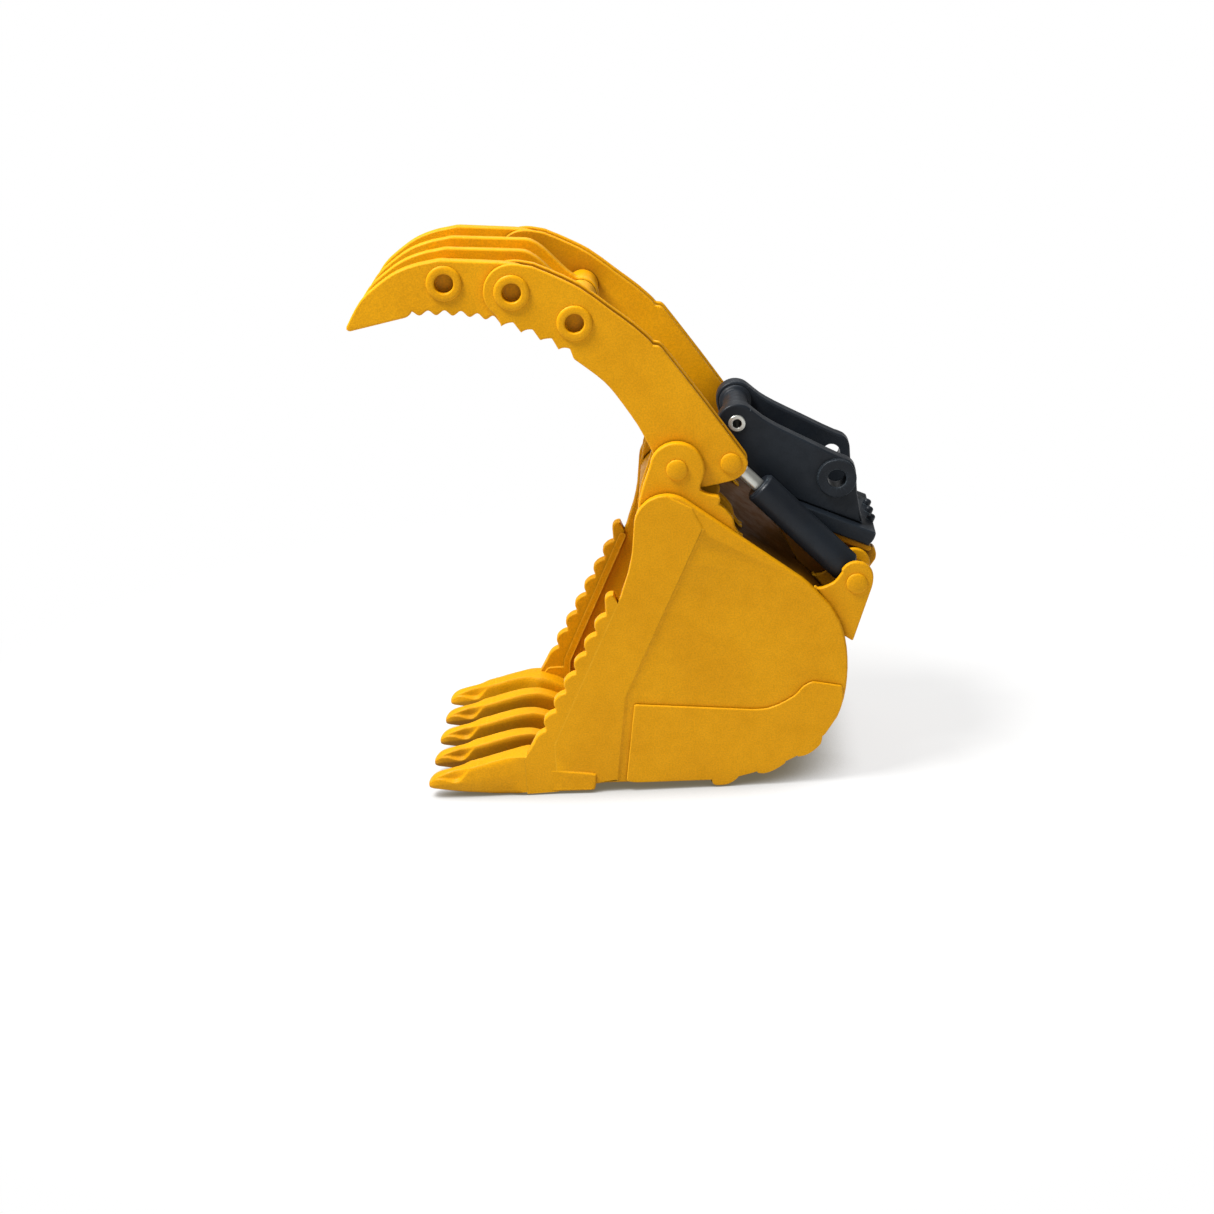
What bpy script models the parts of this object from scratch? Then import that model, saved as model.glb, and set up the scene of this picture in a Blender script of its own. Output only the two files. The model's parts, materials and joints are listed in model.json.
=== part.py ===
"""Excavator bucket with a hydraulic claw, built from its separate steel parts.

Metres, +Z up. The bucket rests on level ground at Z = 0 and digs towards -X.
Y = 0 is the middle of the bucket, and every part is mirrored about it.
"""

import math

import bmesh
import bpy
from mathutils import Matrix, Vector
from mathutils.geometry import tessellate_polygon

# Driving dimensions
HALF_LENGTH = 1.098  # from the origin to the claw's point and to the coupler's rear studs
HALF_WIDTH = 0.5335  # over the side cutters, a 42 inch bucket
GAP = 0.0006  # left between neighbouring parts
CHAMFER = 0.005
ROUND = 18  # sides of a round part

SIDE_INNER, SIDE_OUTER = 0.4875, 0.5275
CUTTER_INNER = 0.4775
WRAPPER_THICKNESS, WRAPPER_INSET = 0.030, 0.012

TOOTH_COUNT, TOOTH_PITCH = 5, 0.2405
SCALLOP_COUNT = 6

CLAW_HINGE = Vector((0.245, 0.0, 1.449))
ROD_PIN = Vector((0.474, 0.0, 1.451))
BASE_PIN = Vector((0.985, 0.0, 0.900))
PIN_RADIUS, PIN_HEAD_RADIUS = 0.040, 0.045
ROD_PIN_CORE_RADIUS = 0.030
PIN_CLEARANCE = 0.0005
OPEN_PIVOT_CLEARANCE = 0.0068  # what the rod's slotted eye leaves round its pin

ARM_CENTRE = 0.385  # |Y| of the arms, the outer tines and the cylinders
ARM_PLATE, ARM_GAP = 0.025, 0.062
TINE_THICKNESS, MIDDLE_TINE_CENTRE = 0.050, 0.128
EAR_THICKNESS = 0.041
BRACKET_THICKNESS = 0.026

CLAW_TUBES = (  # centre in X and Z, outside radius
    ((-0.673, 2.285), 0.054),
    ((-0.394, 2.235), 0.070),
    ((-0.143, 2.092), 0.070),
)
CLAW_TUBE_BORE, COLLAR_RADIUS = 0.040, 0.075

BARREL_RADIUS, ROD_RADIUS = 0.070, 0.030
BARREL_FRONT, BARREL_REAR = 0.163, 0.700  # along the cylinder from the rod pin

COUPLER_FRONT_PIN = (0.509, 1.567)
COUPLER_REAR_BORE = (0.928, 1.300)
COUPLER_INNER, COUPLER_OUTER = 0.155, 0.235
DECK_SLOPE = math.radians(-24.5)
DECK_REAR = (1.050, 1.000)  # rear lower corner of the coupler's base plate
BASE_PLATE_THICKNESS, BASE_PLATE_LENGTH, BASE_PLATE_HALF_WIDTH = 0.066, 0.470, 0.290
DECK_THICKNESS = 0.026

SHARP_ANGLE = math.radians(32)  # edges sharper than this stay crisp


# Outlines in the XZ plane


def arc(centre, radius, start, end, steps=8):
    """Points along a circle, with both angles in degrees from +X towards +Z."""
    turns = [math.radians(start + (end - start) * i / steps) for i in range(steps + 1)]
    return [
        (centre[0] + radius * math.cos(t), centre[1] + radius * math.sin(t))
        for t in turns
    ]


def spline(points, steps=3):
    """A smooth curve through the points, ends included."""
    padded = [points[0], *points, points[-1]]
    curve = []
    for a, b, c, d in zip(padded, padded[1:], padded[2:], padded[3:]):
        for i in range(steps):
            t = i / steps
            curve.append(
                tuple(
                    0.5
                    * (
                        2 * b[k]
                        + (c[k] - a[k]) * t
                        + (2 * a[k] - 5 * b[k] + 4 * c[k] - d[k]) * t**2
                        + (3 * b[k] - a[k] - 3 * c[k] + d[k]) * t**3
                    )
                    for k in (0, 1)
                )
            )
    return [*curve, points[-1]]


def rounded(points, radius, steps=2):
    """The closed outline with each corner eased over at most this distance."""
    outline = []
    for before, corner, after in zip(points[-1:] + points, points, points[1:] + points[:1]):
        corner = Vector(corner)
        to_before = Vector(before) - corner
        to_after = Vector(after) - corner
        start = corner + to_before.normalized() * min(radius, 0.45 * to_before.length)
        end = corner + to_after.normalized() * min(radius, 0.45 * to_after.length)
        for i in range(steps + 1):
            t = i / steps
            point = start * (1 - t) ** 2 + corner * 2 * t * (1 - t) + end * t**2
            outline.append((point.x, point.y))
    return outline


def shifted(points, distance, closed=True):
    """The outline moved to the left of its direction of travel by this distance."""
    moved = []
    last = len(points) - 1
    for i, point in enumerate(points):
        before = points[i - 1] if closed or i else None
        after = points[(i + 1) % len(points)] if closed or i < last else None
        normals = []
        for a, b in ((before, point), (point, after)):
            if a is not None and b is not None:
                along = (Vector(b) - Vector(a)).normalized()
                normals.append(Vector((-along.y, along.x)))
        middle = sum(normals, Vector((0, 0))).normalized()
        reach = distance / max(0.5, middle.dot(normals[0]))
        moved.append((point[0] + middle.x * reach, point[1] + middle.y * reach))
    return moved


def bore_radius(radius):
    """The corner radius of a faceted bore whose flats clear a shaft of this radius."""
    return (radius + PIN_CLEARANCE) / math.cos(math.pi / ROUND)


def signed_area(points):
    pairs = zip(points, points[1:] + points[:1])
    return sum(a[0] * b[1] - b[0] * a[1] for a, b in pairs) / 2


def on_deck(along, above):
    """A point given along and above the sloping underside of the coupler's base plate."""
    cos, sin = math.cos(DECK_SLOPE), math.sin(DECK_SLOPE)
    return (
        DECK_REAR[0] + along * cos - above * sin,
        DECK_REAR[1] + along * sin + above * cos,
    )


# Building objects


def clear_scene():
    for obj in list(bpy.data.objects):
        bpy.data.objects.remove(obj, do_unlink=True)


def paint(name, colour, roughness, metallic=0.0):
    material = bpy.data.materials.new(name)
    material.use_nodes = True
    shader = material.node_tree.nodes["Principled BSDF"]
    shader.inputs["Base Color"].default_value = (*colour, 1.0)
    shader.inputs["Roughness"].default_value = roughness
    shader.inputs["Metallic"].default_value = metallic
    return material


def body(name, position=(0, 0, 0)):
    """An empty on the body's joint axis, which carries the body's parts."""
    empty = bpy.data.objects.new(name, None)
    empty.location = position
    bpy.context.collection.objects.link(empty)
    return empty


def add_object(name, mesh_data, parent, material):
    """Closes the bmesh into an object whose origin is its parent's."""
    bmesh.ops.recalc_face_normals(mesh_data, faces=mesh_data.faces)
    bmesh.ops.translate(mesh_data, verts=mesh_data.verts, vec=-parent.location)
    mesh = bpy.data.meshes.new(name)
    mesh_data.to_mesh(mesh)
    mesh_data.free()
    mesh.shade_smooth()
    mesh.set_sharp_from_angle(angle=SHARP_ANGLE)
    mesh.materials.append(material)
    obj = bpy.data.objects.new(name, mesh)
    obj.parent = parent
    bpy.context.collection.objects.link(obj)
    return obj


def plate_mesh(outline, y_from, y_to, holes=(), chamfer=CHAMFER):
    """A flat plate across Y, chamfered round its outline, with round holes (x, z, radius)."""
    if signed_area(outline) < 0:
        outline = outline[::-1]
    low, high = sorted((y_from, y_to))
    cap = shifted(outline, chamfer) if chamfer else outline
    rings = [(low, cap), (low + chamfer, outline), (high - chamfer, outline), (high, cap)]
    if not chamfer:
        rings = [rings[0], rings[-1]]
    bores = [arc(hole[:2], hole[2], 0, 360 - 360 / ROUND, ROUND - 1) for hole in holes]
    built = bmesh.new()

    def ring_of(points, y):
        return [built.verts.new((x, y, z)) for x, z in points]

    def wall(first, second):
        for i in range(len(first)):
            j = (i + 1) % len(first)
            built.faces.new((first[i], first[j], second[j], second[i]))

    outer = [ring_of(points, y) for y, points in rings]
    for first, second in zip(outer, outer[1:]):
        wall(first, second)
    inner = [[ring_of(points, y) for y in (low, high)] for points in bores]
    for first, second in inner:
        wall(first, second)
    for end, y in ((0, low), (-1, high)):
        loops = [outer[end], *(pair[end] for pair in inner)]
        corners = [vertex for loop in loops for vertex in loop]
        flat = [[Vector((v.co.x, v.co.z, 0)) for v in loop] for loop in loops]
        for triangle in tessellate_polygon(flat):
            built.faces.new([corners[i] for i in triangle])
    return built


def plate(name, outline, span, parent, material, holes=(), chamfer=CHAMFER):
    return add_object(name, plate_mesh(outline, *span, holes, chamfer), parent, material)


def turned_mesh(profile, sides=ROUND):
    """A body turned about its own Z axis from (radius, height) points, closed at the axis or as a ring."""
    built = bmesh.new()
    rings = []
    for radius, height in profile:
        if radius == 0:
            rings.append([built.verts.new((0, 0, height))])
            continue
        turns = [2 * math.pi * i / sides for i in range(sides)]
        rings.append(
            [built.verts.new((radius * math.cos(t), radius * math.sin(t), height)) for t in turns]
        )
    is_ring = all(radius for radius, _ in profile)
    for first, second in zip(rings, rings[1:] + (rings[:1] if is_ring else [])):
        for i in range(sides):
            j = (i + 1) % sides
            corners = (first[i % len(first)], first[j % len(first)],
                       second[j % len(second)], second[i % len(second)])
            built.faces.new(list(dict.fromkeys(corners)))
    return built


def across(x, z):
    """Places a turned body's axis along Y through this point."""
    return Matrix.Translation((x, 0, z)) @ Matrix.Rotation(math.radians(-90), 4, "X")


def turned(name, profile, placing, parent, material, sides=ROUND):
    built = turned_mesh(profile, sides)
    bmesh.ops.transform(built, matrix=placing, verts=built.verts)
    return add_object(name, built, parent, material)


def lofted_mesh(sections):
    """A body through the sections, each a closed loop of as many points."""
    built = bmesh.new()
    loops = [[built.verts.new(point) for point in section] for section in sections]
    for first, second in zip(loops, loops[1:]):
        for i in range(len(first)):
            j = (i + 1) % len(first)
            built.faces.new((first[i], first[j], second[j], second[i]))
    built.faces.new(loops[0])
    built.faces.new(loops[-1])
    return built


def combine(target, other, operation):
    """Joins or cuts the target with the other object, which is used up."""
    modifier = target.modifiers.new(operation, "BOOLEAN")
    modifier.operation = operation
    modifier.object = other
    bpy.context.view_layer.update()
    graph = bpy.context.evaluated_depsgraph_get()
    mesh = bpy.data.meshes.new_from_object(target.evaluated_get(graph))
    mesh.shade_smooth()
    mesh.set_sharp_from_angle(angle=SHARP_ANGLE)
    target.modifiers.clear()
    target.data = mesh
    bpy.data.objects.remove(other, do_unlink=True)
    return target


def sides():
    return (("left", -1), ("right", 1))


def span(side, inner, outer):
    return (side * inner, side * outer)


# The bucket's shell


def heel_curve():
    """The side plate's edge from the front of the floor round the heel to its sloping back."""
    return [
        (0.300, 0.028),
        *spline(
            [(0.430, 0.036), (0.590, 0.078), (0.760, 0.160), (0.880, 0.300), (0.928, 0.480),
             (0.925, 0.670), (0.870, 0.815), (0.750, 0.949)], 2
        ),
    ]


def top_arc():
    """The side plate's rounded top, from its sloping back to its front edge."""
    return arc((0.190, 1.210), 0.142, 51, 180, 7)


def side_outline():
    front = spline([(0.035, 1.105), (0.012, 1.015), (-0.015, 0.945), (-0.040, 0.880)], 2)
    return [(-0.362, 0.040), *heel_curve(), *top_arc(), *front, (-0.355, 0.247)]


def wrapper_path():
    """The wrapper's outer face, from the lip round the heel to the front of the top."""
    edge = [(-0.300, 0.036), *heel_curve(), *top_arc(), (0.045, 1.150)]
    return shifted(edge, WRAPPER_INSET, closed=False)


def on_wrapper(low, high, above=GAP, back_only=True):
    """The part of the wrapper's outer face between two heights, from low to high."""
    path = shifted(wrapper_path(), -above, closed=False)
    kept = [p for p in path if low <= p[1] <= high]
    return [p for p in kept if p[0] > 0.26] if back_only else kept


def back_point(x, above=GAP):
    """The point at this X on the wrapper's straight sloping back."""
    path = shifted(wrapper_path(), -above, closed=False)
    low, high = next((a, b) for a, b in zip(path, path[1:]) if a[0] > x > b[0] and a[1] > 0.5)
    return (x, low[1] + (high[1] - low[1]) * (x - low[0]) / (high[0] - low[0]))


def build_shell(root, yellow):
    path = wrapper_path()
    outline = path + shifted(path, WRAPPER_THICKNESS, closed=False)[::-1]
    plate("wrapper_shell", outline, (-SIDE_INNER + GAP, SIDE_INNER - GAP), root, yellow,
          chamfer=0.003)
    length = SIDE_INNER - GAP
    tube = [(0.066, -length), (0.085, -length), (0.085, length), (0.066, length)]
    turned("torque_tube", tube, across(0.190, 1.210), root, yellow)
    bar = [(-0.038, 0.0), (-0.030, -0.040), (0.030, -0.040), (0.038, 0.0)]
    for number, (x, z, slope) in enumerate(((0.345, 0.040, 0), (0.560, 0.0779, 19)), 1):
        turn = Matrix.Rotation(math.radians(slope), 2)
        outline = [tuple(Vector((x, z)) + turn @ Vector(p)) for p in bar]
        plate(f"heel_bar_{number}", outline, (-SIDE_INNER + GAP, SIDE_INNER - GAP), root, yellow,
              chamfer=0.004)


def build_sides(root, yellow):
    crease = [(-0.0385, 0.883), (-0.353, 0.250), (-0.350, 0.120), (-0.090, 0.046),
              (-0.020, 0.440), (0.350, 1.195), (0.300, 1.290)]
    edge_bar = crease + top_arc()[2:] + [(0.034, 1.105), (0.011, 1.015), (-0.016, 0.945)]
    shoe = rounded([(-0.352, 0.012), (-0.202, 0.013), (-0.190, 0.055), (-0.190, 0.092),
                    (-0.352, 0.112)], 0.012)
    wear_top = [(0.000, 0.412), (0.260, 0.386), (0.500, 0.363), (0.580, 0.364), (0.650, 0.390),
                (0.700, 0.420), (0.740, 0.460), (0.780, 0.479), (0.905, 0.452)]
    heel = shifted(heel_curve(), 0.006, closed=False)
    wear_heel = [p for p in heel if p[1] < 0.44]
    wear = [(-0.058, 0.048), (0.000, 0.038), *wear_heel, *wear_top[::-1]]
    for name, side in sides():
        face = plate(f"side_plate_{name}", side_outline(), span(side, SIDE_INNER, SIDE_OUTER),
                     root, yellow)
        bar = plate(f"edge_bar_{name}", edge_bar, span(side, 0.515, HALF_WIDTH), root, yellow)
        block = plate(f"lip_shoe_{name}", shoe, span(side, 0.505, 0.5435), root, yellow,
                      chamfer=0.004)
        combine(combine(face, bar, "UNION"), block, "UNION")
        plate(f"heel_wear_plate_{name}", wear, span(side, SIDE_OUTER + GAP, 0.5405), root, yellow,
              chamfer=0.006)
        plate(f"side_cutter_{name}", cutter_outline(), span(side, CUTTER_INNER, HALF_WIDTH),
              root, yellow)


def cutter_outline():
    """A serrated plate along the front edge of the side plate."""
    top, step = (-0.096, 0.830), (-0.0505, -0.0877)
    edge = []
    for i in range(SCALLOP_COUNT):
        x, z = top[0] + step[0] * i, top[1] + step[1] * i
        edge += [(x, z), (x - 0.038, z - 0.018), (x - 0.052, z - 0.036), (x - 0.0535, z - 0.052),
                 (x - 0.0485, z - 0.077)]
    knob = arc((-0.066, 0.894), 0.031, 75, 185, 4)
    foot = [(-0.399, 0.304), (-0.436, 0.282), (-0.452, 0.258), (-0.500, 0.172), (-0.500, 0.008),
            (-0.363, 0.012), (-0.363, 0.205), (-0.3565, 0.249)]
    return [(-0.0415, 0.8795), *knob, *edge, *foot]


# Lip, adapters and teeth


def tooth_section(x, y, low, high, half, scoop=0.0, lean=0.80):
    """A rounded cross-section of a tooth or adapter at one X, wider at its foot."""
    crown = half * lean
    middle = low + 0.45 * (high - low)
    return [
        (x, y + across_y, z)
        for across_y, z in (
            (-0.75 * half, low), (0.75 * half, low), (half, low + 0.12 * (high - low)),
            (half, middle), (crown, high - 0.10 * (high - low)), (0.62 * crown, high),
            (0, high - scoop), (-0.62 * crown, high),
            (-crown, high - 0.10 * (high - low)), (-half, middle),
            (-half, low + 0.12 * (high - low)),
        )
    ]


def build_lip(root, yellow):
    blade = [(-0.500, 0.062), (-0.482, 0.046), (-0.3006, 0.046), (-0.3006, 0.092),
             (-0.470, 0.096), (-0.500, 0.082)]
    length = CUTTER_INNER - GAP
    plate("lip_plate", blade, (-length, length), root, yellow, chamfer=0.002)
    nose = ((-0.6994, 0.0), (-0.640, 0.0), (-0.560, 0.25), (-0.500, 0.92), (-0.480, 1.0),
            (-0.430, 1.0), (-0.375, 1.0), (-0.345, 1.0))
    lows = (0.013, 0.005, 0.000, 0.000, 0.001, 0.005, 0.010, 0.020)
    highs = (0.151, 0.166, 0.184, 0.186, 0.184, 0.168, 0.142, 0.118)
    halves = (0.053, 0.053, 0.052, 0.048, 0.047, 0.047, 0.046, 0.044)
    for i in range(TOOTH_COUNT):
        place = i - (TOOTH_COUNT - 1) / 2
        y = place * TOOTH_PITCH
        is_end = abs(place) == (TOOTH_COUNT - 1) / 2
        leg_y = math.copysign(0.4285, place) if is_end else y
        sections = []
        for (x, shift), low, high, half in zip(nose, lows, highs, halves):
            centre = y + (leg_y - y) * shift
            if is_end:
                inner = abs(centre) - half
                half = (HALF_WIDTH - inner) / 2
                centre = math.copysign(inner + half, place)
            sections.append(tooth_section(x, centre, low, high, half))
        adapter = add_object(f"tooth_adapter_{i + 1}", lofted_mesh(sections), root, yellow)
        slot = [(-0.5006, 0.0454), (-0.20, 0.0454), (-0.20, 0.0966), (-0.5006, 0.0966)]
        cut = plate(f"lip_slot_{i + 1}", slot, (leg_y - 0.08, leg_y + 0.08), root, yellow,
                    chamfer=0)
        combine(adapter, cut, "DIFFERENCE")
        if is_end:
            side = math.copysign(1, place)
            beside = [(-0.5006, -0.05), (-0.25, -0.05), (-0.25, 0.25), (-0.5006, 0.25)]
            trim = plate(f"cutter_side_{i + 1}", beside, span(side, CUTTER_INNER - GAP, 0.60),
                         root, yellow, chamfer=0)
            combine(adapter, trim, "DIFFERENCE")
        build_tip(f"tooth_tip_{i + 1}", y, root, yellow)


def build_tip(name, y, root, yellow):
    """A pointed cap, scooped on top."""
    stations = (  # x, low, high, half width, scoop
        (-0.9400, 0.050, 0.066, 0.022, 0.000),
        (-0.9300, 0.045, 0.080, 0.034, 0.000),
        (-0.9050, 0.041, 0.097, 0.041, 0.002),
        (-0.8600, 0.033, 0.110, 0.0455, 0.008),
        (-0.8150, 0.026, 0.121, 0.049, 0.011),
        (-0.7800, 0.021, 0.131, 0.051, 0.001),
        (-0.7200, 0.014, 0.146, 0.0525, 0.000),
        (-0.7000, 0.013, 0.150, 0.0525, 0.000),
    )
    sections = [tooth_section(x, y, low, high, half, scoop)
                for x, low, high, half, scoop in stations]
    add_object(name, lofted_mesh(sections), root, yellow)


# Ears, brackets and pins on the bucket


def ear_outline():
    boss = arc(CLAW_HINGE.xz, 0.117, -25, 172, 10)
    foot = spline([(0.494, 1.150), (0.477, 1.182), (0.470, 1.218), (0.440, 1.262),
                   (0.414, 1.287)], 2)
    prong = [(0.422, 1.300), (0.420, 1.314), (0.407, 1.325), (0.360, 1.338), (0.340, 1.352),
             (0.341, 1.375)]
    along_top = on_wrapper(1.24, 2.0, back_only=False)
    return [back_point(0.512), *foot, *prong, *boss, (0.075, 1.315), *along_top[::-1]]


def bracket_outline():
    flank = spline([(0.800, 0.893), (0.834, 0.888), (0.888, 0.910), (0.922, 0.950)], 3)
    boss = arc((0.985, 0.925), 0.072, 148, -8, 8)
    tail = spline([(1.043, 0.860), (1.010, 0.770), (0.960, 0.635)], 2)
    return flank + boss + tail + on_wrapper(0.58, 0.86)


def gusset_outline():
    top = [on_deck(-0.450, -0.0150), on_deck(-0.010, -0.0150)]
    corner = arc((1.030, 0.950), 0.056, 40, -45, 5)
    tail = [(1.010, 0.830), (0.955, 0.660)]
    return top + corner + tail + on_wrapper(0.60, 1.14)


def pin(name, y_from, y_to, at, parent, material, core=PIN_RADIUS):
    """A plain pin with a domed head at each end."""
    low, high = sorted((y_from, y_to))
    head = 0.012
    wide, crown = PIN_HEAD_RADIUS, 0.75 * PIN_HEAD_RADIUS
    profile = [(0, low - head), (crown, low - head), (wide, low - head / 2), (wide, low - GAP),
               (core, low - GAP), (core, high + GAP), (wide, high + GAP), (wide, high + head / 2),
               (crown, high + head), (0, high + head)]
    turned(name, profile, across(at.x, at.z), parent, material)


def build_hinges(root, yellow):
    arm_outer = ARM_CENTRE + ARM_GAP / 2 + ARM_PLATE
    arm_inner = ARM_CENTRE - ARM_GAP / 2 - ARM_PLATE
    ears = (
        ("outer", arm_outer + 0.0045, arm_outer + 0.0045 + EAR_THICKNESS),
        ("inner", arm_inner - 0.0045 - EAR_THICKNESS, arm_inner - 0.0045),
    )
    brackets = (("outer", SIDE_INNER - GAP - BRACKET_THICKNESS, SIDE_INNER - GAP),
                ("inner", 0.2835, 0.2835 + BRACKET_THICKNESS))
    bore = bore_radius(PIN_RADIUS)
    for name, side in sides():
        for where, inner, outer in ears:
            plate(f"hinge_ear_{where}_{name}", ear_outline(), span(side, inner, outer), root,
                  yellow, holes=[(*CLAW_HINGE.xz, bore)], chamfer=0.006)
        for where, inner, outer in brackets:
            plate(f"cylinder_bracket_{where}_{name}", bracket_outline(),
                  span(side, inner, outer), root, yellow, holes=[(*BASE_PIN.xz, bore)])
        pin(f"hinge_pin_{name}", *span(side, ears[1][1], ears[0][2]), CLAW_HINGE, root, yellow)
        pin(f"base_pin_{name}", *span(side, brackets[1][1], brackets[0][2]), BASE_PIN, root,
            yellow)


# The coupler bracket that the excavator's arm pins into


def build_coupler(root, yellow, black, steel):
    front_end = -BASE_PLATE_LENGTH - 0.015
    deck = [on_deck(front_end, -GAP), on_deck(0.010, -GAP),
            on_deck(0.024, -DECK_THICKNESS / 2), on_deck(0.010, -DECK_THICKNESS),
            on_deck(front_end, -DECK_THICKNESS)]
    top_plate = plate("coupler_deck", deck, (-0.283, 0.283), root, yellow, chamfer=0.003)
    for name, side in sides():
        gusset = plate(f"deck_gusset_{name}", gusset_outline(), span(side, 0.215, 0.265), root,
                       yellow)
        combine(top_plate, gusset, "UNION")
    rear = 0.010
    base = [on_deck(-BASE_PLATE_LENGTH, 0), on_deck(0, 0), on_deck(rear, 0.020),
            on_deck(rear, BASE_PLATE_THICKNESS),
            on_deck(-BASE_PLATE_LENGTH, BASE_PLATE_THICKNESS)]
    half = BASE_PLATE_HALF_WIDTH
    base_plate = plate("coupler_base_plate", base, (-half, half), root, black, chamfer=0.008)
    tilt = Matrix.Rotation(-DECK_SLOPE, 4, "Y")
    radius, shoulder = 0.018, 0.018
    stud = [(0, -0.03), (radius, -0.03), (radius, shoulder), (0.012, 0.026), (0, 0.026)]
    reach = radius * math.cos(DECK_SLOPE) - shoulder * math.sin(DECK_SLOPE)
    rear_gap = HALF_LENGTH - on_deck(0, BASE_PLATE_THICKNESS)[0] - reach
    for i in range(-1, 2):
        x, z = on_deck(rear_gap / math.cos(DECK_SLOPE), BASE_PLATE_THICKNESS)
        placing = Matrix.Translation((x, i * 0.110, z)) @ tilt
        head = turned(f"deck_stud_{i + 2}", stud, placing, root, black, sides=12)
        combine(base_plate, head, "UNION")
    front, rear = COUPLER_FRONT_PIN, COUPLER_REAR_BORE
    top = spline([(0.572, 1.625), (0.620, 1.581), (0.684, 1.538), (0.800, 1.472), (0.900, 1.415),
                  (0.955, 1.386)], 2)
    back = arc((0.945, 1.318), 0.067, 70, 0, 4)
    foot = [(1.014, 1.220), on_deck(-0.044, BASE_PLATE_THICKNESS + GAP),
            on_deck(-0.445, BASE_PLATE_THICKNESS + GAP), (0.452, 1.420)]
    ear = arc(front, 0.085, 195, 43, 9) + top + back + foot
    for name, side in sides():
        cheek = plate(f"coupler_ear_{name}", ear, span(side, COUPLER_INNER, COUPLER_OUTER), root,
                      black, holes=[(*front, 0.0375)], chamfer=0.010)
        low, high = sorted(span(side, COUPLER_INNER + 0.02, COUPLER_OUTER + 0.020))
        boss = turned(f"rear_boss_{name}",
                      [(0, low), (0.085, low), (0.085, high - 0.006), (0.079, high), (0, high)]
                      if side > 0 else
                      [(0, low), (0.079, low), (0.085, low + 0.006), (0.085, high), (0, high)],
                      across(*rear), root, black)
        bore = turned(f"rear_bore_{name}",
                      [(0, low - 0.1), (0.0405, low - 0.1), (0.0405, high + 0.1), (0, high + 0.1)],
                      across(*rear), root, black)
        combine(combine(cheek, boss, "UNION"), bore, "DIFFERENCE")
    half = COUPLER_INNER - GAP
    turned("coupler_cross_tube", [(0.0375, -half), (0.072, -half), (0.072, -half + 0.02),
                                  (0.056, -half + 0.03), (0.056, half - 0.03), (0.072, half - 0.02),
                                  (0.072, half), (0.0375, half)], across(*front), root, black)
    reach = COUPLER_OUTER + 0.006
    turned("coupler_front_pin", [(0.020, -reach), (0.034, -reach), (0.037, -reach + 0.003),
                                 (0.037, reach - 0.003), (0.034, reach), (0.020, reach)],
           across(*front), root, steel)


# The claw


def grip_edge():
    """The claw's toothed gripping edge, from the tip side to the arm."""
    return [(-0.852, 2.149), (-0.817, 2.176), (-0.788, 2.151), (-0.749, 2.179), (-0.718, 2.148),
            (-0.681, 2.176), (-0.649, 2.142), (-0.612, 2.169), (-0.580, 2.132), (-0.544, 2.155),
            (-0.515, 2.118), (-0.479, 2.141), (-0.449, 2.095), (-0.425, 2.106), (-0.397, 2.109),
            (-0.368, 2.064), (-0.350, 2.073), (-0.319, 2.074), (-0.291, 2.027), (-0.267, 2.032),
            (-0.242, 2.032), (-0.218, 1.983), (-0.190, 1.989), (-0.170, 1.983), (-0.158, 1.940)]


def tine_nose():
    """The claw tine's back, from its point to its flat top."""
    back = [(-1.096, 2.130), (-1.034, 2.226), (-0.959, 2.289), (-0.870, 2.342), (-0.772, 2.371),
            (-0.677, 2.382)]
    return [(-1.080, 2.107), (-HALF_LENGTH, 2.114), *spline(back, 2)]


def outer_tine_outline():
    end = spline([(-0.430, 2.357), (-0.350, 2.335), (-0.260, 2.272), (-0.130, 2.190),
                  (-0.050, 2.120), (-0.045, 2.040), (-0.080, 1.975), (-0.135, 1.945)], 2)
    return grip_edge()[::-1] + tine_nose() + end


def middle_tine_outline():
    end = spline([(-0.400, 2.357), (-0.345, 2.348), (-0.290, 2.310), (-0.240, 2.255),
                  (-0.190, 2.202), (-0.155, 2.174)], 2)
    wrap = arc(CLAW_TUBES[2][0], 0.080, 80, -100, 8)
    return grip_edge()[:-1][::-1] + tine_nose() + end + wrap


def arm_outline():
    start = arc(CLAW_TUBES[1][0], 0.118, 232, 85, 8)
    back = [*spline([(-0.308, 2.338), (-0.240, 2.307), (-0.110, 2.234), (0.000, 2.143),
                     (0.102, 2.057), (0.164, 1.994)], 2),
            (0.176, 1.977), (0.196, 1.974), (0.215, 1.957), (0.258, 1.895), (0.370, 1.729),
            (0.459, 1.592), (0.536, 1.474)]
    heel = [(0.545, 1.447), (0.534, 1.415), (0.500, 1.384), (0.430, 1.365), (0.363, 1.353)]
    hub = arc(CLAW_HINGE.xz, 0.108, 272, 155, 5)
    belly = [(0.122, 1.570), *spline([(0.088, 1.644), (0.033, 1.736), (-0.038, 1.835),
                                      (-0.158, 1.940)], 2)]
    grip = grip_edge()[12:-1]
    return start + back + heel + hub + belly + grip[::-1]


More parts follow.
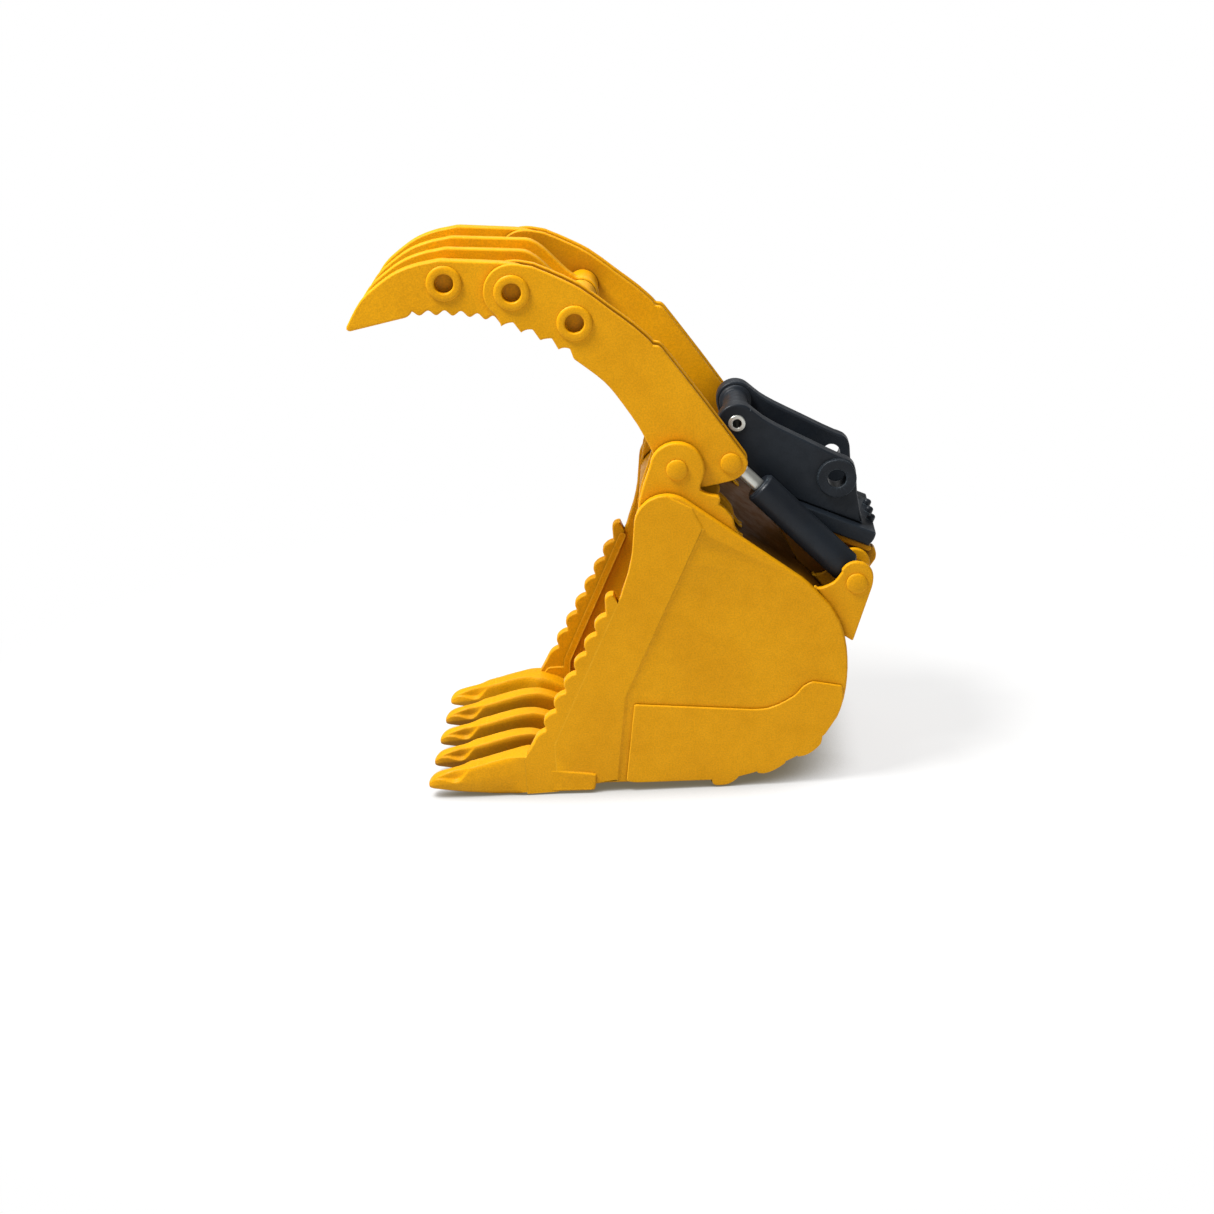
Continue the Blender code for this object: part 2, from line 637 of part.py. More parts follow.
def build_claw(claw, yellow):
    tube_holes = [(*centre, bore_radius(radius)) for centre, radius in CLAW_TUBES]
    outer_half = ARM_GAP / 2 - GAP
    plates = (("outer", ARM_CENTRE + ARM_GAP / 2), ("inner", ARM_CENTRE - ARM_GAP / 2 - ARM_PLATE))
    pin_holes = [(*CLAW_HINGE.xz, bore_radius(PIN_RADIUS)),
                 (*ROD_PIN.xz, bore_radius(ROD_PIN_CORE_RADIUS))]
    for name, side in sides():
        plate(f"claw_tine_outer_{name}", outer_tine_outline(),
              span(side, ARM_CENTRE - outer_half, ARM_CENTRE + outer_half), claw, yellow,
              holes=tube_holes, chamfer=0.007)
        plate(f"claw_tine_middle_{name}", middle_tine_outline(),
              span(side, MIDDLE_TINE_CENTRE - TINE_THICKNESS / 2,
                   MIDDLE_TINE_CENTRE + TINE_THICKNESS / 2), claw, yellow,
              holes=tube_holes, chamfer=0.007)
        for where, inner in plates:
            plate(f"claw_arm_{where}_{name}", arm_outline(), span(side, inner, inner + ARM_PLATE),
                  claw, yellow, holes=tube_holes[1:] + pin_holes, chamfer=0.006)
        reach = ARM_GAP / 2 - GAP
        y = side * ARM_CENTRE
        bore = bore_radius(PIN_RADIUS)
        hub = [(bore, y - reach), (0.078, y - reach), (0.078, y + reach), (bore, y + reach)]
        turned(f"claw_hub_{name}", hub, across(CLAW_HINGE.x, CLAW_HINGE.z), claw, yellow)
        reach = ARM_CENTRE + ARM_GAP / 2 + ARM_PLATE
        pin(f"rod_pin_{name}", side * (2 * ARM_CENTRE - reach), side * reach, ROD_PIN, claw,
            yellow, core=ROD_PIN_CORE_RADIUS)
    for number, (centre, radius) in enumerate(CLAW_TUBES, 1):
        face = ARM_CENTRE + outer_half if number == 1 else ARM_CENTRE + ARM_GAP / 2 + ARM_PLATE
        seat, end = face + GAP, face + 0.012
        half = [(radius, seat), (COLLAR_RADIUS, seat), (COLLAR_RADIUS, end - 0.006),
                (COLLAR_RADIUS - 0.008, end), (CLAW_TUBE_BORE, end)]
        profile = half[::-1] + [(r, -y) for r, y in half]
        turned(f"claw_tube_{number}", profile[::-1], across(*centre), claw, yellow)


# The cylinders, laid out along the line from the rod pin to the base pin


def cylinder_frame(y):
    """Z runs from the rod pin to the base pin, and X stays in the plane of the motion."""
    along = (BASE_PIN - ROD_PIN).normalized()
    sideways = Vector((0, 1, 0))
    upward = sideways.cross(along)
    turn = Matrix((upward, sideways, along)).transposed().to_4x4()
    return Matrix.Translation((ROD_PIN.x, y, ROD_PIN.z)) @ turn


def build_cylinders(black, steel):
    for name, side in sides():
        y = side * ARM_CENTRE
        placing = cylinder_frame(y)
        barrel = body(f"cylinder_{name}", (BASE_PIN.x, 0, BASE_PIN.z))
        rod = body(f"rod_{name}", (ROD_PIN.x, 0, ROD_PIN.z))
        rod.parent = barrel
        rod.matrix_parent_inverse = Matrix.Translation(-barrel.location)
        bore, gland_end = 0.056, BARREL_FRONT + 0.060
        tube = [(0, BARREL_REAR - 0.035), (bore, BARREL_REAR - 0.035), (bore, BARREL_FRONT + 0.006),
                (BARREL_RADIUS - 0.008, BARREL_FRONT + 0.006), (BARREL_RADIUS, BARREL_FRONT + 0.014),
                (BARREL_RADIUS, BARREL_REAR - 0.015), (BARREL_RADIUS - 0.015, BARREL_REAR),
                (0, BARREL_REAR)]
        shell = turned(f"cylinder_barrel_{name}", tube, placing, barrel, black)
        eye_outer = [(0, y - 0.030), (0.064, y - 0.030), (0.064, y + 0.030), (0, y + 0.030)]
        eye = turned(f"base_eye_{name}", eye_outer, across(BASE_PIN.x, BASE_PIN.z), barrel, black)
        pin_bore = bore_radius(PIN_RADIUS)
        hole = [(0, y - 0.1), (pin_bore, y - 0.1), (pin_bore, y + 0.1), (0, y + 0.1)]
        cut = turned(f"base_eye_bore_{name}", hole, across(BASE_PIN.x, BASE_PIN.z), barrel, black)
        combine(combine(shell, eye, "UNION"), cut, "DIFFERENCE")
        gland = [(ROD_RADIUS + PIN_CLEARANCE, BARREL_FRONT), (0.058, BARREL_FRONT),
                 (0.062, BARREL_FRONT + 0.0054), (bore - GAP, BARREL_FRONT + 0.0054),
                 (bore - GAP, gland_end), (ROD_RADIUS + PIN_CLEARANCE, gland_end)]
        turned(f"cylinder_gland_{name}", gland, placing, barrel, black)
        build_rod(name, placing, rod, steel)


def build_rod(name, placing, rod, steel):
    """Rod and piston, with a slotted eye that leaves the open pivot its travel."""
    piston_back = BARREL_REAR - 0.040
    shaft = [(0, 0.058), (0.024, 0.058), (ROD_RADIUS, 0.078), (ROD_RADIUS, piston_back - 0.060),
             (0.0545, piston_back - 0.060), (0.0545, piston_back), (0, piston_back)]
    rod_object = turned(f"cylinder_rod_{name}", shaft, placing, rod, steel)
    slot = ROD_PIN_CORE_RADIUS + OPEN_PIVOT_CLEARANCE
    wall, reach, neck = 0.014, 0.046, 0.072
    outline = [(-reach, -slot - wall), *arc((0, 0), slot + wall, -90, 50, 6), (0.028, neck),
               (-0.028, neck), (-reach, slot + wall), (-reach, slot),
               *arc((0, 0), slot, 90, -90, 8), (-reach, -slot)]
    half = ARM_GAP / 2 - 0.003
    built = plate_mesh(outline, -half, half, chamfer=0)
    bmesh.ops.transform(built, matrix=placing, verts=built.verts)
    fork = add_object(f"rod_eye_{name}", built, rod, steel)
    combine(rod_object, fork, "UNION")


def main():
    clear_scene()
    yellow = paint("yellow_enamel", (0.72, 0.36, 0.012), 0.42)
    black = paint("black_paint", (0.012, 0.015, 0.019), 0.38)
    steel = paint("bright_steel", (0.62, 0.61, 0.58), 0.22, metallic=1.0)
    root = body("bucket")
    claw = body("claw", CLAW_HINGE)
    build_shell(root, yellow)
    build_sides(root, yellow)
    build_lip(root, yellow)
    build_hinges(root, yellow)
    build_coupler(root, yellow, black, steel)
    build_claw(claw, yellow)
    build_cylinders(black, steel)


main()
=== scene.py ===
# Looks of an excavator bucket with a hydraulic claw. Metres, +Z up; the bucket digs towards -X and its
# left side is -Y. Flat plates are rebuilt from their own CAD section with true curves and soft rims,
# round parts are turned again finely, and the teeth are lofted.

import json
import math

import bmesh
import bpy
from mathutils import Matrix, Vector
from mathutils.geometry import tessellate_polygon

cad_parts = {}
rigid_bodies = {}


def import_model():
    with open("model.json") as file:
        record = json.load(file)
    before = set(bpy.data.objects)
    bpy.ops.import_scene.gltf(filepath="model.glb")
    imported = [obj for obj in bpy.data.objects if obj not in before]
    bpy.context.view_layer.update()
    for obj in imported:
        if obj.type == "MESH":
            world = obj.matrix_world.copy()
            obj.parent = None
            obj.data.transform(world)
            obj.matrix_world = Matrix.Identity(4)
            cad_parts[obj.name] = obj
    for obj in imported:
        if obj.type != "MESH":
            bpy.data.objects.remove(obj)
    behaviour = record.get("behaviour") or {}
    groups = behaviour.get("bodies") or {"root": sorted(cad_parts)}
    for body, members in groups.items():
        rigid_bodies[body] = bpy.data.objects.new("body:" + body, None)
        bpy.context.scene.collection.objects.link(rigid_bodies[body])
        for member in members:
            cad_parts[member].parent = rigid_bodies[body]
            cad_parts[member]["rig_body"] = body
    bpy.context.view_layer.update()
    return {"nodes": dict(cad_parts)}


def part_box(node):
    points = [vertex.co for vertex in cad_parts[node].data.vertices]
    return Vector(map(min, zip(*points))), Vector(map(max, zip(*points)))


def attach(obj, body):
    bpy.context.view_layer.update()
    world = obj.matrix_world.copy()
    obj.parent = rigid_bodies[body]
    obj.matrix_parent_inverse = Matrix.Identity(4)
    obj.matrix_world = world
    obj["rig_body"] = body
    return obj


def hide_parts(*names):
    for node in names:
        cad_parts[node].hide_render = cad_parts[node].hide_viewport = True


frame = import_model()

WELD = 1e-5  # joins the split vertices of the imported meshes
CAD_SIDES = 18  # sides of a round CAD part
FINE_SIDES = 72
CURVE_LIMIT = math.radians(33)  # shallower corners of a CAD outline belong to a curve
LONG_EDGE = 0.07  # between edges this long, a corner over EDGE_LIMIT is a real one
EDGE_LIMIT = math.radians(11)
LEAD_RATIO = 2.5  # an edge this many times as long as the next one leads straight into the curve
CURVE_STEP = math.radians(5)
STRAIGHT = math.radians(0.4)  # an outline's points that turn by less are dropped
SOFT_TURN = math.radians(18)  # corners below this need no rounding
EDGE_SHARE = 0.45  # the rounding of a corner takes no more of an edge than this
MITRE_LIMIT = 0.6  # keeps a sharp corner from shifting too far
FOLD_ROUNDS, FOLD_EASE = 20, 0.85  # a loop that folds over itself is shifted less, round by round
SHARP_ANGLE = math.radians(50)
ROUND_STEPS = 4
RIM = 0.0055  # rounding of a plate's rims
HOLE_RIM = 0.003
SEAM_GAP = 0.0008  # how far each flush neighbour grows to close a seam
ON_LINE = 0.004  # a corner this close to a seam or a fade lies on it
ALONG_SEAM = 0.0045  # so does a curved edge, which bulges away a little more
FADE_WIDTH = 0.020
SIDES = (("left", -1), ("right", 1))


# Outlines in the XZ plane


def area(points):
    pairs = zip(points, points[1:] + points[:1])
    return sum(a.x * b.y - b.x * a.y for a, b in pairs) / 2


def turn_at(points, i):
    before = points[i] - points[i - 1]
    after = points[(i + 1) % len(points)] - points[i]
    return before.angle(after, 0.0)


def drawn(*points):
    """The points as vectors."""
    return [Vector(p) for p in points]


def cubic(first, slope_in, second, slope_out, t):
    """The value at share t on the cubic between two values with these slopes."""
    return (
        first * (2 * t**3 - 3 * t**2 + 1)
        + slope_in * (t**3 - 2 * t**2 + t)
        + second * (3 * t**2 - 2 * t**3)
        + slope_out * (t**3 - t**2)
    )


def rounded(start, corner, end):
    """Points along the parabola that replaces a corner."""
    shares = [k / ROUND_STEPS for k in range(ROUND_STEPS + 1)]
    return [start * (1 - t) ** 2 + corner * 2 * t * (1 - t) + end * t**2 for t in shares]


def shifted(points, distances):
    """The closed loop moved to the left of its direction of travel, each point by its distance."""
    moved = []
    for i, point in enumerate(points):
        before = (point - points[i - 1]).normalized()
        after = (points[(i + 1) % len(points)] - point).normalized()
        normals = Vector((-before.y, before.x)), Vector((-after.y, after.x))
        middle = (normals[0] + normals[1]).normalized()
        moved.append(point + middle * distances[i] / max(MITRE_LIMIT, middle.dot(normals[0])))
    return moved


def safe_insets(points, distances):
    """The distances, smaller wherever the shifted loop would fold over itself."""
    distances = list(distances)
    count = len(points)
    for _ in range(FOLD_ROUNDS):
        moved = shifted(points, distances)
        folded = [
            i for i in range(count)
            if (moved[(i + 1) % count] - moved[i]).dot(points[(i + 1) % count] - points[i]) <= 0
        ]
        if not folded:
            break
        for i in folded:
            for k in (i, (i + 1) % count):
                distances[k] *= FOLD_EASE
    return distances


def distance_to(point, line):
    """From the point to a line of points."""
    best = 1.0
    for a, b in zip(line, line[1:]):
        a, along = Vector(a), Vector(b) - Vector(a)
        t = max(0.0, min(1.0, (point - a).dot(along) / along.length_squared))
        best = min(best, (point - a - along * t).length)
    return best


def is_near(point, lines, reach):
    return any(distance_to(point, line) < reach for line in lines)


def chains(edges):
    """The edges' vertices in order, one list per loop or open chain."""
    links = {}
    for edge in edges:
        for a, b in (edge.verts, reversed(edge.verts)):
            links.setdefault(a, []).append(b)
    found = []
    while links:
        start = next((v for v in links if len(links[v]) == 1), next(iter(links)))
        chain, here = [start], start
        while links.get(here):
            there = links[here].pop()
            links[there].remove(here)
            if there is start:
                break
            chain.append(there)
            here = there
        links = {v: ends for v, ends in links.items() if ends}
        found.append([v.co.copy() for v in chain])
    return found


def cut_edges(built, point, normal, clear=False):
    geometry = built.verts[:] + built.edges[:] + built.faces[:]
    found = bmesh.ops.bisect_plane(built, geom=geometry, dist=1e-6, plane_co=point, plane_no=normal,
                                   clear_inner=clear)
    return [e for e in found["geom_cut"] if isinstance(e, bmesh.types.BMEdge)]


def welded(node):
    built = bmesh.new()
    built.from_mesh(frame["nodes"][node].data)
    bmesh.ops.remove_doubles(built, verts=built.verts, dist=WELD)
    return built


def section(node, y):
    """The CAD node's loops at this Y, the largest first, outside loops turning left."""
    built = welded(node)
    loops = []
    for chain in chains(cut_edges(built, (0, y, 0), (0, 1, 0))):
        points = [Vector((p.x, p.z)) for p in chain]
        points = [p for i, p in enumerate(points) if (p - points[i - 1]).length > 2 * WELD]
        points = [p for i, p in enumerate(points) if turn_at(points, i) > STRAIGHT]
        if len(points) > 2:
            loops.append(points)
    built.free()
    loops.sort(key=lambda loop: -abs(area(loop)))
    for i, loop in enumerate(loops):
        if (area(loop) > 0) != (i == 0):
            loop.reverse()
    return loops


def tangent_between(before, after):
    """The curve's direction where two edges meet, or None at a real corner."""
    turn = before.angle(after, 0.0)
    is_long = min(before.length, after.length) > LONG_EDGE
    if turn > CURVE_LIMIT or (is_long and turn > EDGE_LIMIT):
        return None
    if before.length > LEAD_RATIO * after.length:
        return before.normalized()
    if after.length > LEAD_RATIO * before.length:
        return after.normalized()
    return (before.normalized() * after.length + after.normalized() * before.length).normalized()


def corner_tangent(other, way):
    """The direction at a real corner: the one at the edge's other end mirrored, or straight on."""
    return 2 * other.dot(way) * way - other if other else way


def curved(points):
    """The closed loop with its shallow corners drawn out as one smooth curve."""
    count = len(points)
    ways = [points[(i + 1) % count] - points[i] for i in range(count)]
    tangents = [tangent_between(ways[i - 1], ways[i]) for i in range(count)]
    curve = []
    for i, chord in enumerate(ways):
        way = chord.normalized()
        start, end = tangents[i], tangents[(i + 1) % count]
        start, end = start or corner_tangent(end, way), end or corner_tangent(start, way)
        turn = start.angle(way, 0.0) + end.angle(way, 0.0)
        steps = max(1, min(8, math.ceil(turn / CURVE_STEP)))
        slopes = start * chord.length, end * chord.length
        for k in range(steps):
            curve.append(cubic(points[i], slopes[0], points[i] + chord, slopes[1], k / steps))
    return curve


def eased(points, radius, closed=True, seams=()):
    """The outline with each sharp corner off the seams rounded over at most this distance."""
    outline = []
    for i, corner in enumerate(points):
        is_kept = not closed and i in (0, len(points) - 1)
        is_kept = is_kept or is_near(corner, seams, ON_LINE)
        if is_kept or turn_at(points, i) < SOFT_TURN:
            outline.append(corner)
            continue
        to_before = points[i - 1] - corner
        to_after = points[(i + 1) % len(points)] - corner
        start = corner + to_before.normalized() * min(radius, EDGE_SHARE * to_before.length)
        end = corner + to_after.normalized() * min(radius, EDGE_SHARE * to_after.length)
        outline += rounded(start, corner, end)
    return outline


def eased_profile(radius, *points):
    """An open profile of (radius, height) points with rounded corners."""
    return [(p.x, p.y) for p in eased(drawn(*points), radius, closed=False)]


def arc(centre, radius, start, end, steps=24):
    """Points along a circle, with both angles in degrees from +X towards +Z."""
    turns = [math.radians(start + (end - start) * i / steps) for i in range(steps + 1)]
    return [Vector(centre) + radius * Vector((math.cos(t), math.sin(t))) for t in turns]


def circle(loop):
    """The round hole that a faceted loop stands for, on the loop's flats."""
    middle = sum(loop, Vector((0, 0))) / len(loop)
    radius = (loop[0] - middle).length * math.cos(math.pi / CAD_SIDES)
    return arc(middle, radius, 360, 360 / FINE_SIDES, FINE_SIDES - 1)


def band(line, half):
    """The outline of a band of this half width along a line of points."""
    points = drawn(*line)
    ends = [(b - a).normalized() for a, b in zip(points, points[1:])]
    ways = [ends[0]] + [(a + b).normalized() for a, b in zip(ends, ends[1:])] + [ends[-1]]
    sides = [Vector((-way.y, way.x)) * half for way in ways]
    return [p + s for p, s in zip(points, sides)] + [p - s for p, s in zip(points, sides)][::-1]


# Meshes


def raw_object(name, built):
    bmesh.ops.recalc_face_normals(built, faces=built.faces)
    mesh = bpy.data.meshes.new(name)
    built.to_mesh(mesh)
    built.free()
    piece = bpy.data.objects.new(name, mesh)
    bpy.context.scene.collection.objects.link(piece)
    return piece


def bridge(built, first, second):
    """Faces between two rings with the same number of vertices."""
    for i in range(len(first)):
        j = (i + 1) % len(first)
        built.faces.new((first[i], first[j], second[j], second[i]))


def rim_rings(y_from, y_to, rim_from, rim_to):
    """(Y, inset as a share, height as a share) of a plate's rings, rounded at each rim."""
    way = 1 if y_to > y_from else -1
    turns = [math.pi / 2 * i / ROUND_STEPS for i in range(ROUND_STEPS + 1)]
    round_off = [(1 - math.cos(t), 1 - math.sin(t)) for t in turns]
    first = [(y_from + way * rim_from * deep, share, 1 - deep) for deep, share in round_off]
    last = [(y_to - way * rim_to * deep, share, 1 - deep) for deep, share in round_off]
    first = first if rim_from else [(y_from, 0.0, 0.0)]
    return first + last[::-1]


def soft_plate(name, loops, y_from, y_to, rim=RIM, corner=0.008, seams=(), fades=(),
               bare_from=False):
    """A plate across Y from a CAD section, with curved outlines and rounded rims. Along a seam it
    closes up to its flush neighbour, and along a fade its rim is a wide slope."""
    outlines = [(eased(curved(loops[0]), corner, seams=seams), rim)]
    outlines += [(circle(loop), min(rim, HOLE_RIM)) for loop in loops[1:]]
    built = bmesh.new()
    ends = []
    for outline, rim_here in outlines:
        at_seam = [is_near(p, seams, ALONG_SEAM) for p in outline]
        at_fade = [is_near(p, fades, ON_LINE) for p in outline]
        insets = [0 if seam else FADE_WIDTH if fade else rim_here
                  for seam, fade in zip(at_seam, at_fade)]
        insets = safe_insets(outline, insets)
        rings = []
        for y, share, height in rim_rings(y_from, y_to, 0 if bare_from else rim_here, rim_here):
            distances = [-SEAM_GAP if seam else inset * (height if fade else share)
                         for inset, seam, fade in zip(insets, at_seam, at_fade)]
            moved = shifted(outline, distances)
            rings.append([built.verts.new((p.x, y, p.y)) for p in moved])
        for first, second in zip(rings, rings[1:]):
            bridge(built, first, second)
        ends.append((rings[0], rings[-1]))
    for face in (0, 1):
        corners = [v for pair in ends for v in pair[face]]
        flat = [[Vector((v.co.x, v.co.z, 0)) for v in pair[face]] for pair in ends]
        for triangle in tessellate_polygon(flat):
            built.faces.new([corners[i] for i in triangle])
    return raw_object(name, built)


def spin(name, profile, placing, sides=FINE_SIDES):
    """A body turned about its local Z from (radius, height) points."""
    built = bmesh.new()
    rings = []
    for radius, height in profile:
        radius = radius if radius > WELD else 0.0
        turns = [2 * math.pi * i / sides for i in range(sides)] if radius else [0.0]
        rings.append([
            built.verts.new(placing @ Vector((radius * math.cos(t), radius * math.sin(t), height)))
            for t in turns
        ])
    is_ring = all(len(ring) > 1 for ring in rings)
    for first, second in zip(rings, rings[1:] + (rings[:1] if is_ring else [])):
        for i in range(sides):
            j = (i + 1) % sides
            corners = [first[i % len(first)], first[j % len(first)],
                       second[j % len(second)], second[i % len(second)]]
            built.faces.new(list(dict.fromkeys(corners)))
    return raw_object(name, built)


def turned_profile(node, placing):
    """(radius, height) points of a turned CAD node and whether it is a ring."""
    built = welded(node)
    bmesh.ops.transform(built, matrix=placing.inverted(), verts=built.verts)
    half = math.pi / CAD_SIDES
    out = Vector((math.cos(half), math.sin(half), 0))
    cut_edges(built, (0, 0, 0), out, clear=True)
    chain = max(chains(cut_edges(built, (0, 0, 0), (-out.y, out.x, 0))), key=len)
    built.free()
    points = [Vector((p.dot(out) / math.cos(half), p.z)) for p in chain]
    is_open = min(p.x for p in points) < 1e-4
    kept = []
    for i, point in enumerate(points):
        is_end = is_open and i in (0, len(points) - 1)
        if is_end or turn_at(points, i) > math.radians(1):
            kept.append(point)
    return kept, not is_open


def fine_turned(node, placing, ease=0.0025):
    """The turned CAD node again with fine sides and eased corners."""
    profile, is_ring = turned_profile(node, placing)
    profile = eased(profile, ease, closed=is_ring)
    return spin(f"{node}_fine", [(p.x, p.y) for p in profile], placing)


def combine(target, other, operation="UNION"):
    """The target joined with the other object, which is used up, or cut by it."""
    modifier = target.modifiers.new(operation, "BOOLEAN")
    modifier.operation = operation
    modifier.object = other
    bpy.context.view_layer.update()
    graph = bpy.context.evaluated_depsgraph_get()
    mesh = bpy.data.meshes.new_from_object(target.evaluated_get(graph))
    target.modifiers.clear()
    target.data = mesh
    bpy.data.objects.remove(other, do_unlink=True)
    return target


def dress(piece, slot, *nodes, look=None):
    """Shades the piece, rides it on its CAD node's body and lets it stand for the nodes."""
    piece.data.materials.clear()
    piece.data.materials.append(looks[look or slot])
    piece.data.shade_smooth()
    piece.data.set_sharp_from_angle(angle=SHARP_ANGLE)
    normals = piece.modifiers.new("Even normals", "WEIGHTED_NORMAL")
    normals.keep_sharp = True
    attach(piece, frame["nodes"][nodes[0]]["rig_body"])
    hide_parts(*nodes)
    return piece


def across(x, z, y=0.0):
    """Local Z along +Y through this point."""
    return Matrix.Translation((x, y, z)) @ Matrix.Rotation(math.radians(-90), 4, "X")


def middle_of(node):
    low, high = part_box(node)
    return (low + high) / 2


def y_range(node):
    low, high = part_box(node)
    return low.y, high.y


def remade(node, look=None, **shape):
    """A plate that is one CAD section deep, drawn again softly."""
    low, high = y_range(node)
    loops = section(node, (low + high) / 2)
    piece = soft_plate(f"{node}_fine", loops, low, high, **shape)
    return dress(piece, "yellow_enamel", node, look=look)


# Finishes

# Noise scales, in cells per metre
DRIFT, CLOUD, GRAIN, DUST, SCUFF, RIPPLE = 3.0, 17.0, 150.0, 45.0, 34.0, 70.0

CREVICE_REACH = 0.030  # how far surfaces may be apart for painted shade and some dirt to gather between them
RECESS_REACH = 0.50  # and how far to count as a recess, which gets painted shade
EDGE_REACH = 0.006  # half the width of an edge's wear and painted highlight
# How strongly the painted shade with its dirt darkens crevices, and how strong and how soft edged the
# painted shadow is
SHADE_AND_DIRT_SHARE, PAINTED_SHADOW_SHARE = 0.24, 0.90
PAINTED_SHADOW_BLUR = 0.06


def feed(node, slot, value):
    """Links a socket to the node's input, or sets the input to a value."""
    if isinstance(value, bpy.types.NodeSocket):
        node.id_data.links.new(value, node.inputs[slot])
    else:
        node.inputs[slot].default_value = value


class Nodes:
    """Adds shader nodes to a new material. Each method takes values or sockets and returns a socket."""

    def __init__(self, name):
        self.material = bpy.data.materials.new(name)
        self.material.use_nodes = True
        self.tree = self.material.node_tree
        self.shader = self.tree.nodes["Principled BSDF"]
        self.coords = self.add("ShaderNodeTexCoord", {}, "Object")

    def add(self, kind, inputs, output=0, **settings):
        node = self.tree.nodes.new(kind)
        for name, value in settings.items():
            setattr(node, name, value)
        for slot, value in inputs.items():
            feed(node, slot, value)
        return node.outputs[output]

    def noise(self, scale, detail=3.0, roughness=0.5):
        return self.add("ShaderNodeTexNoise", {
            "Vector": self.coords, "Scale": scale, "Detail": detail, "Roughness": roughness,
        })

    def ramp(self, source, low, high):
        """A smooth 0 to 1 step of the source between two values."""
        return self.add("ShaderNodeMapRange", {0: source, 1: low, 2: high},
                        interpolation_type="SMOOTHSTEP")

    def spread(self, source, low, high):
        """The source's 0 to 1 drawn out between two values."""
        return self.add("ShaderNodeMapRange", {0: source, 3: low, 4: high})

    def mix(self, factor, first, second, blend="MIX"):
        return self.add("ShaderNodeMix", {6: first, 7: second, 0: factor}, 2, data_type="RGBA",
                        blend_type=blend, clamp_factor=True)

    def product(self, first, second):
        return self.add("ShaderNodeMath", {0: first, 1: second}, operation="MULTIPLY")

    def total(self, first, second):
        return self.add("ShaderNodeMath", {0: first, 1: second}, operation="ADD")

    def openness(self, reach, samples):
        return self.add("ShaderNodeAmbientOcclusion", {"Distance": reach}, "AO", samples=samples)


def linear(red, green, blue):
    """An sRGB colour of 0 to 255 as linear RGBA."""
    channels = [c / 255 for c in (red, green, blue)]
    return (*[c / 12.92 if c < 0.04045 else ((c + 0.055) / 1.055) ** 2.4 for c in channels], 1.0)


def grey(value):
    return (value, value, value, 1)


# Painted shade in crevices, darkest where surfaces are close, with dust noise adding some dirt.
def crevice_shade_and_dirt(nodes):
    hollow = nodes.ramp(nodes.openness(CREVICE_REACH, 6), 0.80, 0.15)
    dusty = nodes.product(hollow, nodes.ramp(nodes.noise(DUST, 4.0), 0.2, 0.7))
    return nodes.product(nodes.total(hollow, dusty), SHADE_AND_DIRT_SHARE)


# A painted shadow over what lies beyond an X and above a Z, with soft edges.
def painted_shadow_layer(nodes, behind, above):
    place = nodes.add("ShaderNodeSeparateXYZ", {0: nodes.coords}).node.outputs
    limits = ((place["X"], behind), (place["Z"], above))
    behind, above = (nodes.ramp(c, limit - PAINTED_SHADOW_BLUR, limit + PAINTED_SHADOW_BLUR) for c, limit in limits)
    return nodes.product(nodes.product(behind, above), PAINTED_SHADOW_SHARE)


def edge_wear_and_highlight(nodes, rubbed_and_highlit, scuffed):
    """Wear and a painted highlight all along the edges, and more wear in scuffed stretches."""
    soft = nodes.add("ShaderNodeBevel", {"Radius": EDGE_REACH}, samples=4)
    normal = nodes.add("ShaderNodeNewGeometry", {}, "Normal")
    edge = nodes.add("ShaderNodeVectorMath", {0: soft, 1: normal}, "Value", operation="DOT_PRODUCT")
    edge = nodes.ramp(edge, 0.995, 0.93)
    scuff = nodes.ramp(nodes.noise(SCUFF, 6.0, 0.65), 0.42, 0.68)
    return nodes.total(nodes.product(edge, rubbed_and_highlit), nodes.product(nodes.product(edge, scuff), scuffed))


def bumps(nodes, grain, fine, coarse):
    inner = nodes.add("ShaderNodeBump", {"Height": grain, "Strength": fine, "Distance": 0.001})
    return nodes.add("ShaderNodeBump", {"Height": nodes.noise(RIPPLE, 3.0), "Normal": inner,
                                        "Strength": coarse, "Distance": 0.002})


